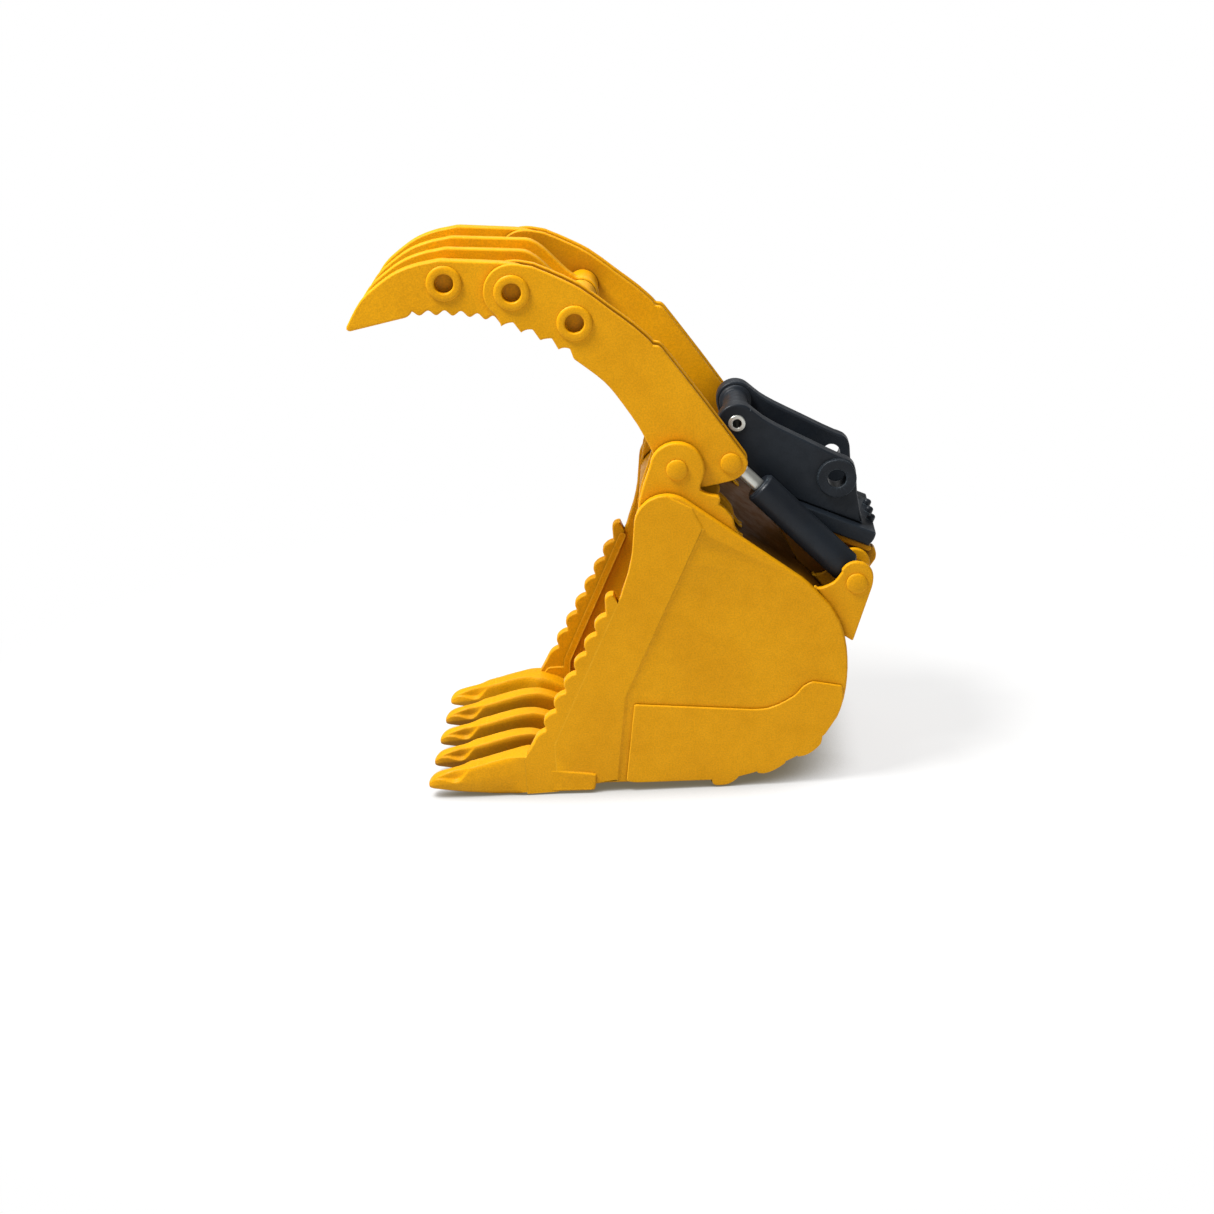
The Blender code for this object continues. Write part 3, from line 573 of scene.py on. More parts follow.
def finish(name, base, light, deep, worn_and_highlit, roughness, speckle, bump, specular, wear_and_highlight, metallic=0.0,
           recess_shade=(0.55, 0.05, 0.60), painted_shadow=None):
    """A paint or metal that varies in tone, with painted shade and some dirt in its crevices, painted
    shade in its recesses, and wear with a painted highlight along its edges. The recess shade holds the
    openness where a recess's painted shade starts, where it is darkest, and how much. A painted shadow
    covers what lies beyond this X and above this Z."""
    nodes = Nodes(f"{name}_look")
    drift = nodes.ramp(nodes.noise(DRIFT, 4.0), 0.35, 0.65)
    cloud = nodes.ramp(nodes.noise(CLOUD, 5.0, 0.6), 0.38, 0.66)
    grain = nodes.noise(GRAIN, 3.0, 0.6)
    shade_and_dirt = crevice_shade_and_dirt(nodes)
    tone = nodes.mix(drift, base, light)
    cloudy = nodes.mix(1.0, tone, (0.88, 0.87, 0.82, 1.0), "MULTIPLY")
    tone = nodes.mix(nodes.product(cloud, 0.35), tone, cloudy)
    flecks = nodes.mix(nodes.ramp(grain, 0.30, 0.70), grey(0.86), grey(1.14))
    tone = nodes.mix(speckle, tone, flecks, "MULTIPLY")
    # Painted shade with some dirt in the crevices.
    tone = nodes.mix(shade_and_dirt, tone, deep)
    # Painted shade in the recesses, deepest where they are least open.
    recess = nodes.product(nodes.ramp(nodes.openness(RECESS_REACH, 8), recess_shade[0], recess_shade[1]), recess_shade[2])
    tone = nodes.mix(recess, tone, deep)
    # A painted shadow in dark browns.
    if painted_shadow:
        shadow_tone = nodes.mix(drift, linear(74, 44, 8), linear(56, 35, 8))
        tone = nodes.mix(painted_shadow_layer(nodes, *painted_shadow), tone, shadow_tone)
    # Wear with a painted highlight along the edges.
    tone = nodes.mix(edge_wear_and_highlight(nodes, *wear_and_highlight), tone, worn_and_highlit)
    feed(nodes.shader, "Base Color", tone)
    gloss = nodes.spread(cloud, *roughness)
    feed(nodes.shader, "Roughness", nodes.total(gloss, nodes.product(shade_and_dirt, 0.35)))
    feed(nodes.shader, "Metallic", metallic)
    feed(nodes.shader, "Specular IOR Level", specular)
    feed(nodes.shader, "Normal", bumps(nodes, grain, *bump))
    return nodes.material


# The deep colour is the painted shade in crevices and recesses, where it also stands for some dirt; the
# worn colour is the edges' wear with a painted highlight.
ENAMEL = dict(
    base=linear(219, 152, 4), light=linear(226, 159, 7), deep=linear(96, 55, 4),
    worn_and_highlit=linear(247, 190, 48), roughness=(0.42, 0.58), speckle=0.80, bump=(0.40, 0.25),
    specular=0.12, wear_and_highlight=(0.35, 0.45),
)
# A stronger painted shade in recesses
DEEP_RECESS_SHADE = (0.92, 0.30, 0.92)
looks = {
    "yellow_enamel": finish("yellow_enamel", **ENAMEL),
    # Copies of the enamel with stronger painted shade in their recesses.
    "recess_shaded_enamel": finish("recess_shaded_enamel", **ENAMEL, recess_shade=DEEP_RECESS_SHADE),
    # This one also has a painted shadow beyond X 0.31 and above Z 0.93.
    "shadowed_enamel": finish("shadowed_enamel", **ENAMEL, recess_shade=DEEP_RECESS_SHADE, painted_shadow=(0.31, 0.93)),
    "shaded_enamel": finish("shaded_enamel", **ENAMEL, recess_shade=(0.90, 0.25, 0.75)),
    "black_paint": finish(
        "black_paint", base=linear(27, 31, 37), light=linear(31, 37, 44), deep=linear(9, 10, 12),
        worn_and_highlit=linear(96, 108, 116), roughness=(0.36, 0.52), speckle=0.45, bump=(0.25, 0.22),
        specular=0.20, wear_and_highlight=(0.14, 0.60),
    ),
    "bright_steel": finish(
        "bright_steel", base=linear(206, 207, 200), light=linear(220, 220, 213),
        deep=linear(96, 94, 88), worn_and_highlit=linear(240, 240, 236), roughness=(0.28, 0.42), speckle=0.35,
        bump=(0.15, 0.12), specular=0.5, metallic=0.75, wear_and_highlight=(0.2, 0.3),
    ),
}


# The bucket's wrapper, wear plates and side cutters

CUTTER_SEAM = [(-0.0400, 0.8800), (-0.3550, 0.2480), (-0.3625, 0.2050), (-0.3625, 0.0130)]
ADAPTER_SEAM = [(-0.4920, 0.1860), (-0.5000, 0.1720), (-0.5000, 0.0080)]

# Layers of the bucket's sides, as |Y|. A root is buried in the plate that carries the detail.
CUTTER_INNER, CUTTER_MIDDLE, CUTTER_FACE = 0.4775, 0.505, 0.5335
PAD_ROOT, PAD_FACE = 0.485, 0.4710
WELD_ROOT, WELD_FACE = 0.486, 0.4700
WEAR_INNER, WEAR_FACE = 0.5281, 0.5405
LUMP_ROOT, LUMP_FACE = 0.5150, 0.5404

# (X, Z) outlines: the bead inside the mouth between cutter and side plate, as its line and half its
# width, the pad at the foot of the cutter's inner face, and the lumps under the heel, front to rear
WELD_LINE = [(-0.0480, 0.8640), *CUTTER_SEAM[1:3], (-0.3625, 0.1080)]
WELD_HALF = 0.009
PAD = ((-0.478, 0.060), (-0.372, 0.060), (-0.372, 0.208), (-0.452, 0.208), (-0.478, 0.180))
HEEL_LUMPS = (
    ((0.322, 0.016), (0.331, 0.009), (0.362, 0.007), (0.392, 0.012), (0.412, 0.022), (0.436, 0.042),
     (0.430, 0.110), (0.395, 0.165), (0.350, 0.165), (0.325, 0.110)),
    ((0.521, 0.058), (0.545, 0.054), (0.575, 0.060), (0.617, 0.080), (0.650, 0.103), (0.640, 0.165),
     (0.585, 0.210), (0.530, 0.180), (0.515, 0.110)),
    ((0.700, 0.127), (0.735, 0.132), (0.765, 0.148), (0.806, 0.186), (0.815, 0.240), (0.760, 0.275),
     (0.705, 0.235), (0.688, 0.175)),
)


def build_wear_plate(name, side):
    node = f"heel_wear_plate_{name}"
    low, high = sorted((side * WEAR_INNER, side * WEAR_FACE))
    loops = section(node, (low + high) / 2)
    piece = soft_plate(f"{node}_fine", loops, low, high, rim=0.006, corner=0.010)
    for lump in HEEL_LUMPS:
        combine(piece, soft_plate("lump", [drawn(*lump)], side * LUMP_ROOT, side * LUMP_FACE,
                                  rim=0.004, corner=0.03))
    dress(piece, "yellow_enamel", node)


def build_side_cutter(name, side):
    node = f"side_cutter_{name}"
    low, high = sorted((side * CUTTER_INNER, side * CUTTER_FACE))
    piece = soft_plate(f"{node}_fine", section(node, side * CUTTER_MIDDLE), low, high, rim=0.009,
                       corner=0.008, seams=(CUTTER_SEAM, ADAPTER_SEAM))
    combine(piece, soft_plate("pad", [drawn(*PAD)], side * PAD_ROOT, side * PAD_FACE, rim=0.005,
                              corner=0.012, bare_from=True))
    combine(piece, soft_plate("weld", [band(WELD_LINE, WELD_HALF)], side * WELD_ROOT,
                              side * WELD_FACE, rim=0.0075, corner=0.008, bare_from=True))
    dress(piece, "yellow_enamel", node)


# The wrapper has a painted shadow over its upper rear and stronger painted shade in its recesses.
remade("wrapper_shell", look="shadowed_enamel", rim=0.0025, corner=0.005)
for number in (1, 2):
    remade(f"heel_bar_{number}", rim=0.004, corner=0.006)
for name, side in SIDES:
    build_wear_plate(name, side)
    build_side_cutter(name, side)


# The ears, brackets, arms and tines

for name, side in SIDES:
    for where in ("outer", "inner"):
        remade(f"hinge_ear_{where}_{name}", rim=0.009, corner=0.012)
        remade(f"cylinder_bracket_{where}_{name}", rim=0.008, corner=0.010)
        remade(f"claw_arm_{where}_{name}", look="shaded_enamel" if where == "inner" else None,
               rim=0.007, corner=0.008)
    for where in ("outer", "middle"):
        remade(f"claw_tine_{where}_{name}", rim=0.008, corner=0.015)


# The side plates, each with the raised bar along its front edge and the shoe under its cutter

SIDE_INNER, SIDE_MIDDLE, SIDE_OUTER = 0.4875, 0.500, 0.5275
BAR_ROOT, BAR_MIDDLE, BAR_FACE = 0.515, 0.5281, CUTTER_FACE - 0.0001
SHOE_ROOT, SHOE_FACE = 0.525, 0.5435
BAR_CREASE = [(-0.0900, 0.0460), (-0.0200, 0.4400), (0.3500, 1.1950), (0.3150, 1.2620)]
FOOT_CORNER = Vector((-0.18, 0.26))  # the CAD outline below and before this is drawn anew
BAR_FOOT = ((-0.3550, 0.2480), (-0.3625, 0.2050), (-0.3625, 0.0420), (-0.1900, 0.0400))
SHOE = ((-0.420, 0.013), (-0.202, 0.013), (-0.190, 0.055), (-0.190, 0.092), (-0.420, 0.121))
SHOE_FADE = 0.110  # the shoe rises out of the cutter's face over this length
SHOE_SUNK = 0.003


def beside_cutter(loop):
    """The side plate's outline, as its only loop, with its front edge drawn up to the cutter."""
    is_foot = [p.x < FOOT_CORNER.x and p.y < FOOT_CORNER.y for p in loop]
    start = next(i for i in range(len(loop)) if is_foot[i - 1] and not is_foot[i])
    kept = [p for p, foot in zip(loop[start:] + loop[:start], is_foot[start:] + is_foot[:start])
            if not foot]
    return [kept + drawn(*BAR_FOOT)]


def build_shoe(name, side):
    shoe = soft_plate(f"lip_shoe_{name}", [drawn(*SHOE)], side * SHOE_ROOT, side * SHOE_FACE,
                      rim=0.009, corner=0.024, bare_from=True)
    for v in shoe.data.vertices:
        rise = max(0.0, min(1.0, (v.co.x - SHOE[0][0]) / SHOE_FADE))
        out = abs(v.co.y) - CUTTER_FACE
        v.co.y = side * (CUTTER_FACE + out * rise - SHOE_SUNK * (1 - rise))
    return shoe


def build_side_plate(name, side):
    node = f"side_plate_{name}"
    face = soft_plate(f"{node}_fine", beside_cutter(section(node, side * SIDE_MIDDLE)[0]),
                      side * SIDE_INNER, side * SIDE_OUTER, rim=0.010, corner=0.004,
                      seams=(CUTTER_SEAM,))
    bar = soft_plate(f"edge_bar_{name}", beside_cutter(section(node, side * BAR_MIDDLE)[0]),
                     side * BAR_ROOT, side * BAR_FACE, rim=0.006, corner=0.004,
                     seams=(CUTTER_SEAM,), fades=(BAR_CREASE,), bare_from=True)
    combine(combine(face, bar), build_shoe(name, side))
    dress(face, "yellow_enamel", node)


for name, side in SIDES:
    build_side_plate(name, side)


# Lip, adapters and teeth

TOOTH_PITCH = 0.2405
LIP_SEAT = 0.4285  # |Y| where the end adapters sit on the lip plate, beside the cutters
LIP_SLOT_X, LIP_SLOT_Z, LIP_SLOT_HALF = (-0.5000, -0.20), (0.0454, 0.0966), 0.08
SECTION_EASE = 0.30  # how much of each side of a casting's section its corners round off
# X, bottom, half width, height of the widest point, top, scooped share of the flanks, shift along Y
TIP = (
    (-0.9400, 0.053, 0.015, 0.058, 0.063, 0.00, 0),
    (-0.9385, 0.050, 0.022, 0.058, 0.067, 0.00, 0),
    (-0.9340, 0.047, 0.030, 0.059, 0.074, 0.00, 0),
    (-0.9200, 0.043, 0.038, 0.061, 0.088, 0.04, 0),
    (-0.9000, 0.040, 0.0425, 0.064, 0.100, 0.15, 0),
    (-0.8700, 0.035, 0.0455, 0.067, 0.111, 0.45, 0),
    (-0.8450, 0.031, 0.0475, 0.069, 0.118, 0.80, 0),
    (-0.8200, 0.027, 0.0485, 0.070, 0.1235, 1.00, 0),
    (-0.8000, 0.024, 0.0495, 0.072, 0.1278, 0.93, 0),
    (-0.7850, 0.022, 0.0503, 0.073, 0.1318, 0.66, 0),
    (-0.7700, 0.020, 0.0510, 0.074, 0.1358, 0.30, 0),
    (-0.7560, 0.018, 0.0516, 0.076, 0.1395, 0.07, 0),
    (-0.7420, 0.017, 0.0520, 0.077, 0.1430, 0.00, 0),
    (-0.7100, 0.013, 0.0527, 0.078, 0.150, 0.00, 0),
    (-0.6996, 0.012, 0.0528, 0.079, 0.1525, 0.00, 0),
    (-0.6850, 0.014, 0.0510, 0.080, 0.1500, 0.00, 0),
)
# X, bottom, top, half width, how far an end adapter's section has moved over to the lip's seat
ADAPTER = (
    (-0.7150, 0.014, 0.1500, 0.0500, 0.0), (-0.6996, 0.012, 0.1525, 0.0528, 0.0),
    (-0.6400, 0.005, 0.168, 0.053, 0.0), (-0.5600, 0.001, 0.184, 0.052, 0.25),
    (-0.5000, 0.000, 0.187, 0.048, 0.92), (-0.4800, 0.001, 0.185, 0.047, 1.0),
    (-0.4300, 0.005, 0.169, 0.046, 1.0), (-0.3750, 0.010, 0.142, 0.044, 1.0),
    (-0.3520, 0.018, 0.122, 0.039, 1.0), (-0.3450, 0.026, 0.112, 0.033, 1.0),
)
ADAPTER_WIDEST = 0.47  # height of an adapter's widest point over its own height
TIP_PLACES = [
    -0.9400, -0.9385, -0.9365, -0.9340, -0.9300,
    *[-0.9250 + 0.0055 * i for i in range(41)],
    -0.6996, -0.6920, -0.6850,
]
ADAPTER_PLACES = [
    -0.7150, -0.7070, -0.6996,
    *[-0.6900 + 0.01 * i for i in range(34)],
    -0.3550, -0.3500, -0.3470, -0.3450,
]
CUTTER_FRONT = ((-0.4999, -0.05), (-0.25, -0.05), (-0.25, 0.30), (-0.4286, 0.30), (-0.4999, 0.172))
CUTTER_ROOM = 0.4772, 0.60  # |Y| that an end adapter leaves to its cutter behind the cutter's front
FLUSH_X, FLUSH_X_EASE = -0.600, 0.09  # where its flank begins to turn flush with the cutter
FLUSH_Y, FLUSH_Y_EASE = 0.508, 0.012


def between(stations, x):
    """The row of numbers at this X on smooth curves through the stations."""
    last = len(stations) - 2
    i = max(k for k in range(last + 1) if k == 0 or stations[k][0] <= x)

    def slope(k, column):
        a, b = stations[max(0, k - 1)], stations[min(last + 1, k + 1)]
        return (b[column] - a[column]) / (b[0] - a[0])

    first, second = stations[i], stations[i + 1]
    span = second[0] - first[0]
    return [
        cubic(first[column], slope(i, column) * span, second[column], slope(i + 1, column) * span,
              (x - first[0]) / span)
        for column in range(1, len(first))
    ]


def flank_points(half, low, wide_z, top, scoop):
    """(Y, Z) from the widest point of a casting's section up to near its crown, as full as the scoop
    leaves it."""
    tall, rise = top - low, top - wide_z
    full = ((0.93, top - 0.13 * tall), (0.86, top - 0.05 * tall), (0.76, top), (0.40, top + 0.002))
    scooped = ((0.97, wide_z + 0.14 * rise), (0.57, wide_z + 0.30 * rise),
               (0.50, top - 0.12 * rise), (0.38, top + 0.001))
    return [(half * (a + (c - a) * scoop), b + (d - b) * scoop)
            for (a, b), (c, d) in zip(full, scooped)]


def cast_section(low, half, wide_z, top, scoop):
    """The whole rounded section of a casting across X."""
    right = [(0.80 * half, low), (half, wide_z), *flank_points(half, low, wide_z, top, scoop),
             (0.0, top + 0.003)]
    left = [(-a, z) for a, z in right[:-1]]
    corners = drawn(*left[:1], *right, *left[:0:-1])
    loop = []
    for i, corner in enumerate(corners):
        before, after = corners[i - 1] - corner, corners[(i + 1) % len(corners)] - corner
        loop += rounded(corner + before * SECTION_EASE, corner, corner + after * SECTION_EASE)
    return loop


def cast_body(name, stations, places, y):
    """A cast body lofted along X through its stations, with a ring at each place."""
    built = bmesh.new()
    rings = []
    for x in places:
        *shape, move = between(stations, x)
        rings.append([built.verts.new((x, y + move + p.x, p.y)) for p in cast_section(*shape)])
    for first, second in zip(rings, rings[1:]):
        bridge(built, first, second)
    built.faces.new(rings[0])
    built.faces.new(rings[-1])
    return raw_object(name, built)


def ease_in(share):
    share = max(0.0, min(1.0, share))
    return share * share * (3 - 2 * share)


def box_between(x, y, z):
    built = bmesh.new()
    bmesh.ops.create_cube(built, size=1.0)
    for v in built.verts:
        v.co = [pair[0] if c < 0 else pair[1] for c, pair in zip(v.co, (x, y, z))]
    return raw_object("cutter", built)


def adapter_stations(y, seat, is_end):
    """The casting's stations; an end adapter grows out to the cutter's face."""
    stations = []
    for x, low, high, half, share in ADAPTER:
        middle = y + (seat - y) * share
        if is_end:
            inner = abs(middle) - half
            half = (CUTTER_FACE - inner) / 2
            middle = math.copysign(inner + half, y)
        widest = low + ADAPTER_WIDEST * (high - low)
        stations.append((x, low, half, widest, high, 0.0, middle - y))
    return stations


def fit_to_cutter(piece, y):
    """Turns the end adapter's flank flush with the cutter and leaves the cutter its room."""
    for v in piece.data.vertices:
        flat = ease_in((v.co.x - FLUSH_X) / FLUSH_X_EASE)
        flat *= ease_in((abs(v.co.y) - FLUSH_Y) / FLUSH_Y_EASE)
        v.co.y += (math.copysign(CUTTER_FACE, y) - v.co.y) * flat
    room = sorted(math.copysign(limit, y) for limit in CUTTER_ROOM)
    knife = soft_plate("knife", [drawn(*CUTTER_FRONT)], *room, rim=0.0004, corner=0.0004)
    combine(piece, knife, "DIFFERENCE")


def build_tooth(i):
    y = (i - 2) * TOOTH_PITCH
    is_end = i in (0, 4)
    seat = math.copysign(LIP_SEAT, y) if is_end else y
    look = None if is_end else "shaded_enamel"
    node = f"tooth_adapter_{i + 1}"
    adapter = cast_body(f"{node}_fine", adapter_stations(y, seat, is_end), ADAPTER_PLACES, y)
    slot_y = (seat - LIP_SLOT_HALF, seat + LIP_SLOT_HALF)
    combine(adapter, box_between(LIP_SLOT_X, slot_y, LIP_SLOT_Z), "DIFFERENCE")
    if is_end:
        fit_to_cutter(adapter, y)
    dress(adapter, "yellow_enamel", node, look=look)
    node = f"tooth_tip_{i + 1}"
    dress(cast_body(f"{node}_fine", TIP, TIP_PLACES, y), "yellow_enamel", node, look=look)


remade("lip_plate", rim=0.0015, corner=0.004)
for i in range(5):
    build_tooth(i)


# Turned parts

hinge, rod_pin, base_pin = (middle_of(f"{n}_pin_left") for n in ("hinge", "rod", "base"))
PINS = (("hinge_pin", hinge, 0.040), ("rod_pin", rod_pin, 0.030), ("base_pin", base_pin, 0.040))
HEAD_RADIUS = 0.045
HEAD_HEIGHT = 0.012  # of a CAD pin's flat head
HEAD_GAP, HEAD_RIM, DOME_RISE = 0.0006, 0.004, 0.010  # of the domed head, over the plate's face
PLUG_DEPTH, PLUG_RADIUS = 0.050, 0.045
PLUG = ((0.0, 0.0), (0.030, 0.0), (0.036, -0.003), (PLUG_RADIUS, -0.010), (PLUG_RADIUS, 0.020),
        (0.0, 0.020))


def build_pin(node, at, core):
    low, high = y_range(node)
    turns = [math.pi / 2 * k / 10 for k in range(11)]
    dome = [(HEAD_RADIUS * math.cos(t), HEAD_RIM + DOME_RISE * math.sin(t) ** 0.8) for t in turns]
    head = [(core, HEAD_GAP), (HEAD_RADIUS, HEAD_GAP)] + dome
    start = [(r, low + HEAD_HEIGHT - h) for r, h in head[::-1]]
    end = [(r, high - HEAD_HEIGHT + h) for r, h in head]
    dress(spin(f"{node}_fine", start + end, across(at.x, at.z)), "yellow_enamel", node)


def build_claw_tube(node):
    """A cross tube with a plug inside each end."""
    middle = middle_of(node)
    at = across(middle.x, middle.z)
    low, high = y_range(node)
    tube = fine_turned(node, at, ease=0.009)
    for end, way in ((low, 1), (high, -1)):
        profile = [(r, end + way * (PLUG_DEPTH + h)) for r, h in PLUG]
        combine(tube, spin("plug", profile, at))
    dress(tube, "yellow_enamel", node)


def turned_part(node, slot, at=None, **shape):
    at = at or middle_of(node)
    dress(fine_turned(node, across(at.x, at.z), **shape), slot, node)


for name, side in SIDES:
    for kind, at, core in PINS:
        build_pin(f"{kind}_{name}", at, core)
    turned_part(f"claw_hub_{name}", "yellow_enamel", at=hinge)
for number in (1, 2, 3):
    build_claw_tube(f"claw_tube_{number}")
turned_part("torque_tube", "yellow_enamel")
turned_part("coupler_cross_tube", "black_paint", ease=0.006)
turned_part("coupler_front_pin", "bright_steel", at=middle_of("coupler_cross_tube"), ease=0.002)


# The coupler bracket

DECK_SLOPE = math.radians(-24.5)
DECK_REAR = Vector((1.050, 1.000))  # rear lower corner of the base plate
GUSSET_INNER, GUSSET_MIDDLE, GUSSET_OUTER = 0.215, 0.240, 0.265
BASE_SECTION = 0.055  # a Y between two studs
BASE_TOP = 0.066  # the base plate's thickness
STUD_RADIUS, STUD_RISE, STUD_ROUND, STUD_PITCH = 0.018, 0.026, 0.012, 0.110
CAD_STUD_SHOULDER = 0.018  # height of a CAD stud's widest rim
EAR_INNER, EAR_MIDDLE, EAR_OUTER = 0.155, 0.169, 0.235
REAR_BORE = Vector((0.928, 1.300))
BOSS = ((0.0, 0.175), (0.085, 0.175), (0.085, 0.255), (0.0, 0.255))
BORE = ((0.0, 0.1), (0.0399, 0.1), (0.0399, 0.251), (0.0445, 0.256), (0.0445, 0.3), (0.0, 0.3))


def build_deck():
    low, high = y_range("coupler_deck")
    deck = soft_plate("coupler_deck_fine", section("coupler_deck", 0.0), low, high, rim=0.004)
    for name, side in SIDES:
        outline = section("coupler_deck", side * GUSSET_MIDDLE)[:1]
        combine(deck, soft_plate(f"gusset_{name}", outline, side * GUSSET_INNER,
                                 side * GUSSET_OUTER, rim=0.006, corner=0.010))
    # The deck and its gussets get the stronger painted shade in their recesses.
    dress(deck, "yellow_enamel", "coupler_deck", look="recess_shaded_enamel")


def stud_centre():
    """The studs' X and Z: their rearmost edge is the base plate's rear end."""
    reach = STUD_RADIUS * math.cos(DECK_SLOPE) - CAD_STUD_SHOULDER * math.sin(DECK_SLOPE)
    top_rear = DECK_REAR + BASE_TOP * Vector((-math.sin(DECK_SLOPE), math.cos(DECK_SLOPE)))
    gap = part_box("coupler_base_plate")[1].x - reach - top_rear.x
    return top_rear + gap * Vector((1.0, math.tan(DECK_SLOPE)))


def build_base_plate():
    node = "coupler_base_plate"
    base = soft_plate(f"{node}_fine", section(node, BASE_SECTION), *y_range(node), rim=0.007,
                      corner=0.009)
    shoulder = (STUD_RADIUS - STUD_ROUND, STUD_RISE - STUD_ROUND)
    profile = [(0.0, -0.03), (STUD_RADIUS, -0.03), (STUD_RADIUS, shoulder[1])]
    profile += [(p.x, p.y) for p in arc(shoulder, STUD_ROUND, 0, 90, 6)] + [(0.0, STUD_RISE)]
    at = stud_centre()
    for i in (-1, 0, 1):
        placing = Matrix.Translation((at.x, i * STUD_PITCH, at.y))
        placing = placing @ Matrix.Rotation(-DECK_SLOPE, 4, "Y")
        combine(base, spin(f"stud_{i + 2}", profile, placing, 40))
    dress(base, "black_paint", node)


def build_coupler_ear(name, side):
    node = f"coupler_ear_{name}"
    outline, *holes = section(node, side * EAR_MIDDLE)
    front_hole = min(holes, key=lambda loop: loop[0].x)
    ear = soft_plate(f"{node}_fine", [outline, front_hole], side * EAR_INNER, side * EAR_OUTER,
                     rim=0.010, corner=0.014)
    boss = [(r, side * y) for r, y in eased_profile(0.006, *BOSS)]
    bore = [(r, side * y) for r, y in BORE]
    combine(ear, spin("boss", boss, across(*REAR_BORE)))
    combine(ear, spin("bore", bore, across(*REAR_BORE)), "DIFFERENCE")
    dress(ear, "black_paint", node)


build_deck()
build_base_plate()
for name, side in SIDES:
    build_coupler_ear(name, side)


# The cylinders. Their local Z runs from the rod pin to the base pin.

BARREL_RADIUS, BARREL_BORE, BARREL_SHOULDER = 0.070, 0.056, 0.062
BARREL_START, BARREL_END = 0.169, 0.700
PISTON_END = 0.660
ROD_RADIUS, PISTON_RADIUS = 0.030, 0.0545
BASE_EYE_RADIUS, BASE_EYE_HALF, BASE_BORE = 0.064, 0.030, 0.0405
FORK_SLOT, FORK_WALL, FORK_REACH = 0.0368, 0.014, 0.046  # slot radius, wall, length towards the slot
FORK_HALF, FORK_ROOT = 0.028, 0.072  # half thickness, and how far the eye runs into the shaft


def cylinder_axes():
    along = base_pin - rod_pin
    along.y = 0
    along.normalize()
    upward = Vector((0, 1, 0)).cross(along)
    return Matrix((upward, Vector((0, 1, 0)), along)).transposed().to_4x4()


def build_barrel(node, placing, base_eye):
    """The barrel, bored from its front end, with its eye on the base pin."""
    tube = eased_profile(
        0.003, (0, 0.665), (BARREL_BORE, 0.665), (BARREL_BORE, BARREL_START),
        (BARREL_SHOULDER, BARREL_START), (BARREL_RADIUS, 0.177), (BARREL_RADIUS, 0.688),
        (0.058, BARREL_END), (0, BARREL_END),
    )
    barrel = spin(f"{node}_fine", tube, placing)
    eye = eased_profile(0.004, (0, -BASE_EYE_HALF), (BASE_EYE_RADIUS, -BASE_EYE_HALF),
                        (BASE_EYE_RADIUS, BASE_EYE_HALF), (0, BASE_EYE_HALF))
    combine(barrel, spin("eye", eye, base_eye))
    bore = ((0, -0.1), (BASE_BORE, -0.1), (BASE_BORE, 0.1), (0, 0.1))
    combine(barrel, spin("bore", bore, base_eye), "DIFFERENCE")
    dress(barrel, "black_paint", node)


def fork_outline():
    """The slotted rod eye, open to the side that the pin leaves by."""
    outer = FORK_SLOT + FORK_WALL
    return [
        Vector((-FORK_REACH, -outer)), *arc((0, 0), outer, -90, 50),
        Vector((FORK_HALF, FORK_ROOT)), Vector((-FORK_HALF, FORK_ROOT)),
        Vector((-FORK_REACH, outer)), Vector((-FORK_REACH, FORK_SLOT)),
        *arc((0, 0), FORK_SLOT, 90, -90), Vector((-FORK_REACH, -FORK_SLOT)),
    ]


def build_rod(node, placing):
    shaft = eased_profile(
        0.003, (0, 0.058), (0.024, 0.058), (ROD_RADIUS, 0.078), (ROD_RADIUS, 0.600),
        (PISTON_RADIUS, 0.600), (PISTON_RADIUS, PISTON_END), (0, PISTON_END),
    )
    rod = spin(f"{node}_fine", shaft, placing)
    fork = soft_plate("fork", [fork_outline()], -FORK_HALF, FORK_HALF, rim=0.002, corner=0.003)
    fork.data.transform(placing)
    combine(rod, fork)
    dress(rod, "bright_steel", node)


for name, _ in SIDES:
    y = middle_of(f"rod_pin_{name}").y
    placing = Matrix.Translation((rod_pin.x, y, rod_pin.z)) @ cylinder_axes()
    build_barrel(f"cylinder_barrel_{name}", placing, across(base_pin.x, base_pin.z, y))
    gland = f"cylinder_gland_{name}"
    dress(fine_turned(gland, placing, ease=0.002), "black_paint", gland)
    build_rod(f"cylinder_rod_{name}", placing)


# Floor, light and camera

FLOOR_HALF = 30.0
CONTACT_REACH = 0.34  # how far from the bucket the floor's painted contact shadow starts
FADE_START, FADE_END = 1.7, 4.0  # distance over which the lit floor turns into plain white
WHITE = (1.0, 1.0, 1.0, 1)
WORLD_LIGHT = 0.26
# Name, place, target, size and watts
LIGHTS = (
    ("key", (-5.0, -2.1, 11.0), (0.0, 0.0, 0.9), 4.2, 2150),
    ("fill", (1.5, -6.5, 3.0), (0.1, 0.0, 0.9), 4.0, 22),
    ("back", (0.5, 4.0, 6.0), (0.0, 0.0, 1.0), 4.0, 90),
)
CAMERA_AT = (0.4344868, -9.3341382, 4.0779181)
CAMERA_YAW, CAMERA_DOWN, CAMERA_ROLL = 0.0593312, 0.3490659, -0.0726015
FOCAL_SHARE = 2186.267 / 1214  # focal length over the picture's width


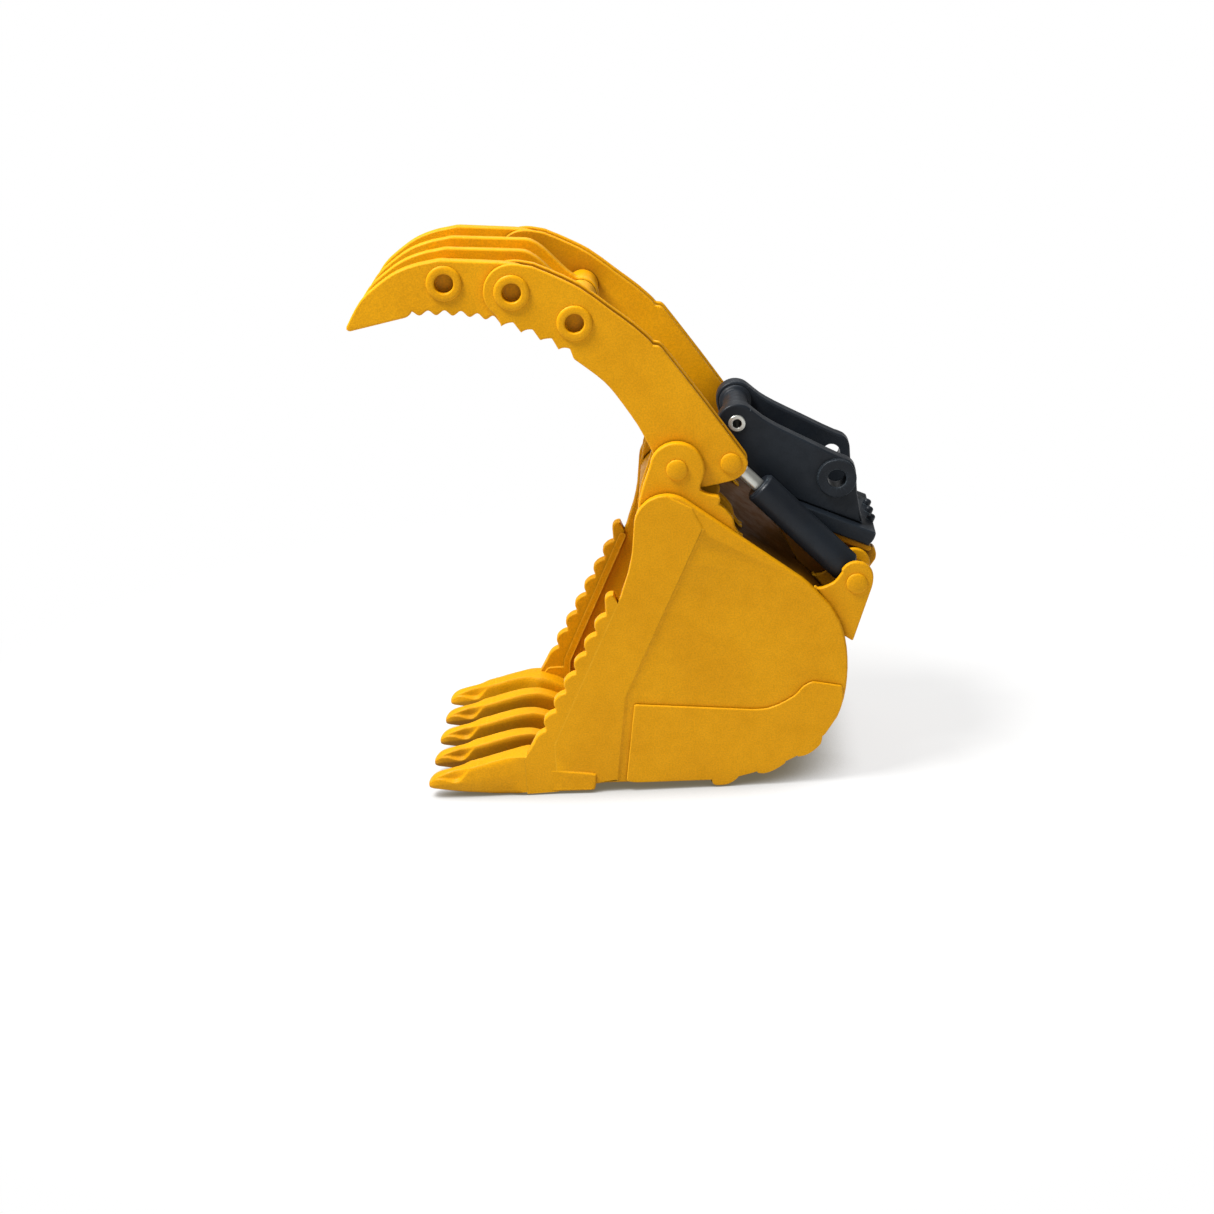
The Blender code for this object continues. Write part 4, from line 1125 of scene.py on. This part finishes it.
def floor_look():
    """Pale grey, with a painted contact shadow in its glow under the bucket, and glowing white further
    off, like a photo backdrop.
    """
    nodes = Nodes("pale_floor")
    tone = nodes.mix(nodes.noise(1.5, 3.0), (0.90, 0.90, 0.89, 1), (0.93, 0.93, 0.92, 1))
    feed(nodes.shader, "Base Color", tone)
    feed(nodes.shader, "Roughness", nodes.spread(nodes.noise(6.0), 0.75, 0.9))
    feed(nodes.shader, "Specular IOR Level", 0.1)
    away = nodes.add("ShaderNodeVectorMath", {0: nodes.coords}, "Value", operation="LENGTH")
    share = nodes.spread(nodes.ramp(away, FADE_START, FADE_END), 0.78, 1.0)
    # A painted contact shadow in the floor's glow, darkest close under the bucket.
    painted_contact_shadow = nodes.ramp(nodes.openness(CONTACT_REACH, 16), 0.18, 0.86)
    glow = nodes.add("ShaderNodeEmission", {
        "Color": nodes.mix(painted_contact_shadow, (0.17, 0.15, 0.10, 1), WHITE), "Strength": 1.0,
    })
    blend = nodes.add("ShaderNodeMixShader", {0: share, 1: nodes.shader.outputs[0], 2: glow})
    feed(nodes.tree.nodes["Material Output"], "Surface", blend)
    return nodes.material


def build_floor():
    built = bmesh.new()
    bmesh.ops.create_grid(built, x_segments=1, y_segments=1, size=FLOOR_HALF)
    floor = raw_object("studio_floor", built)
    floor.data.materials.append(floor_look())


def background(tree, strength):
    node = tree.nodes.new("ShaderNodeBackground")
    feed(node, "Color", WHITE)
    feed(node, "Strength", strength)
    return node.outputs[0]


def build_world():
    """A white world that gives off less light than the camera sees."""
    world = bpy.data.worlds.new("studio")
    bpy.context.scene.world = world
    world.use_nodes = True
    tree = world.node_tree
    tree.nodes.clear()
    path = tree.nodes.new("ShaderNodeLightPath")
    mix = tree.nodes.new("ShaderNodeMixShader")
    feed(mix, 0, path.outputs["Is Camera Ray"])
    feed(mix, 1, background(tree, WORLD_LIGHT))
    feed(mix, 2, background(tree, 1.0))
    feed(tree.nodes.new("ShaderNodeOutputWorld"), "Surface", mix.outputs[0])


def add_light(name, at, target, size, watts):
    light = bpy.data.lights.new(name, "AREA")
    light.shape = "DISK"
    light.size = size
    light.energy = watts
    lamp = bpy.data.objects.new(name, light)
    lamp.location = at
    lamp.rotation_euler = (Vector(target) - Vector(at)).to_track_quat("-Z", "Y").to_euler()
    bpy.context.scene.collection.objects.link(lamp)


def place_camera():
    right = Vector((math.cos(CAMERA_YAW), math.sin(CAMERA_YAW), 0))
    ahead = Vector((-math.sin(CAMERA_YAW) * math.cos(CAMERA_DOWN),
                    math.cos(CAMERA_YAW) * math.cos(CAMERA_DOWN), -math.sin(CAMERA_DOWN)))
    up = right.cross(ahead)
    cos, sin = math.cos(CAMERA_ROLL), math.sin(CAMERA_ROLL)
    right, up = cos * right + sin * up, -sin * right + cos * up
    lens = bpy.data.cameras.new("photo_view")
    lens.sensor_width = 36.0
    lens.lens = FOCAL_SHARE * lens.sensor_width
    camera = bpy.data.objects.new("photo_view", lens)
    camera.matrix_world = Matrix((right, up, -ahead)).transposed().to_4x4()
    camera.matrix_world.translation = CAMERA_AT
    bpy.context.scene.collection.objects.link(camera)
    bpy.context.scene.camera = camera


build_floor()
build_world()
for light in LIGHTS:
    add_light(*light)
place_camera()
bpy.context.scene.view_settings.view_transform = "Standard"
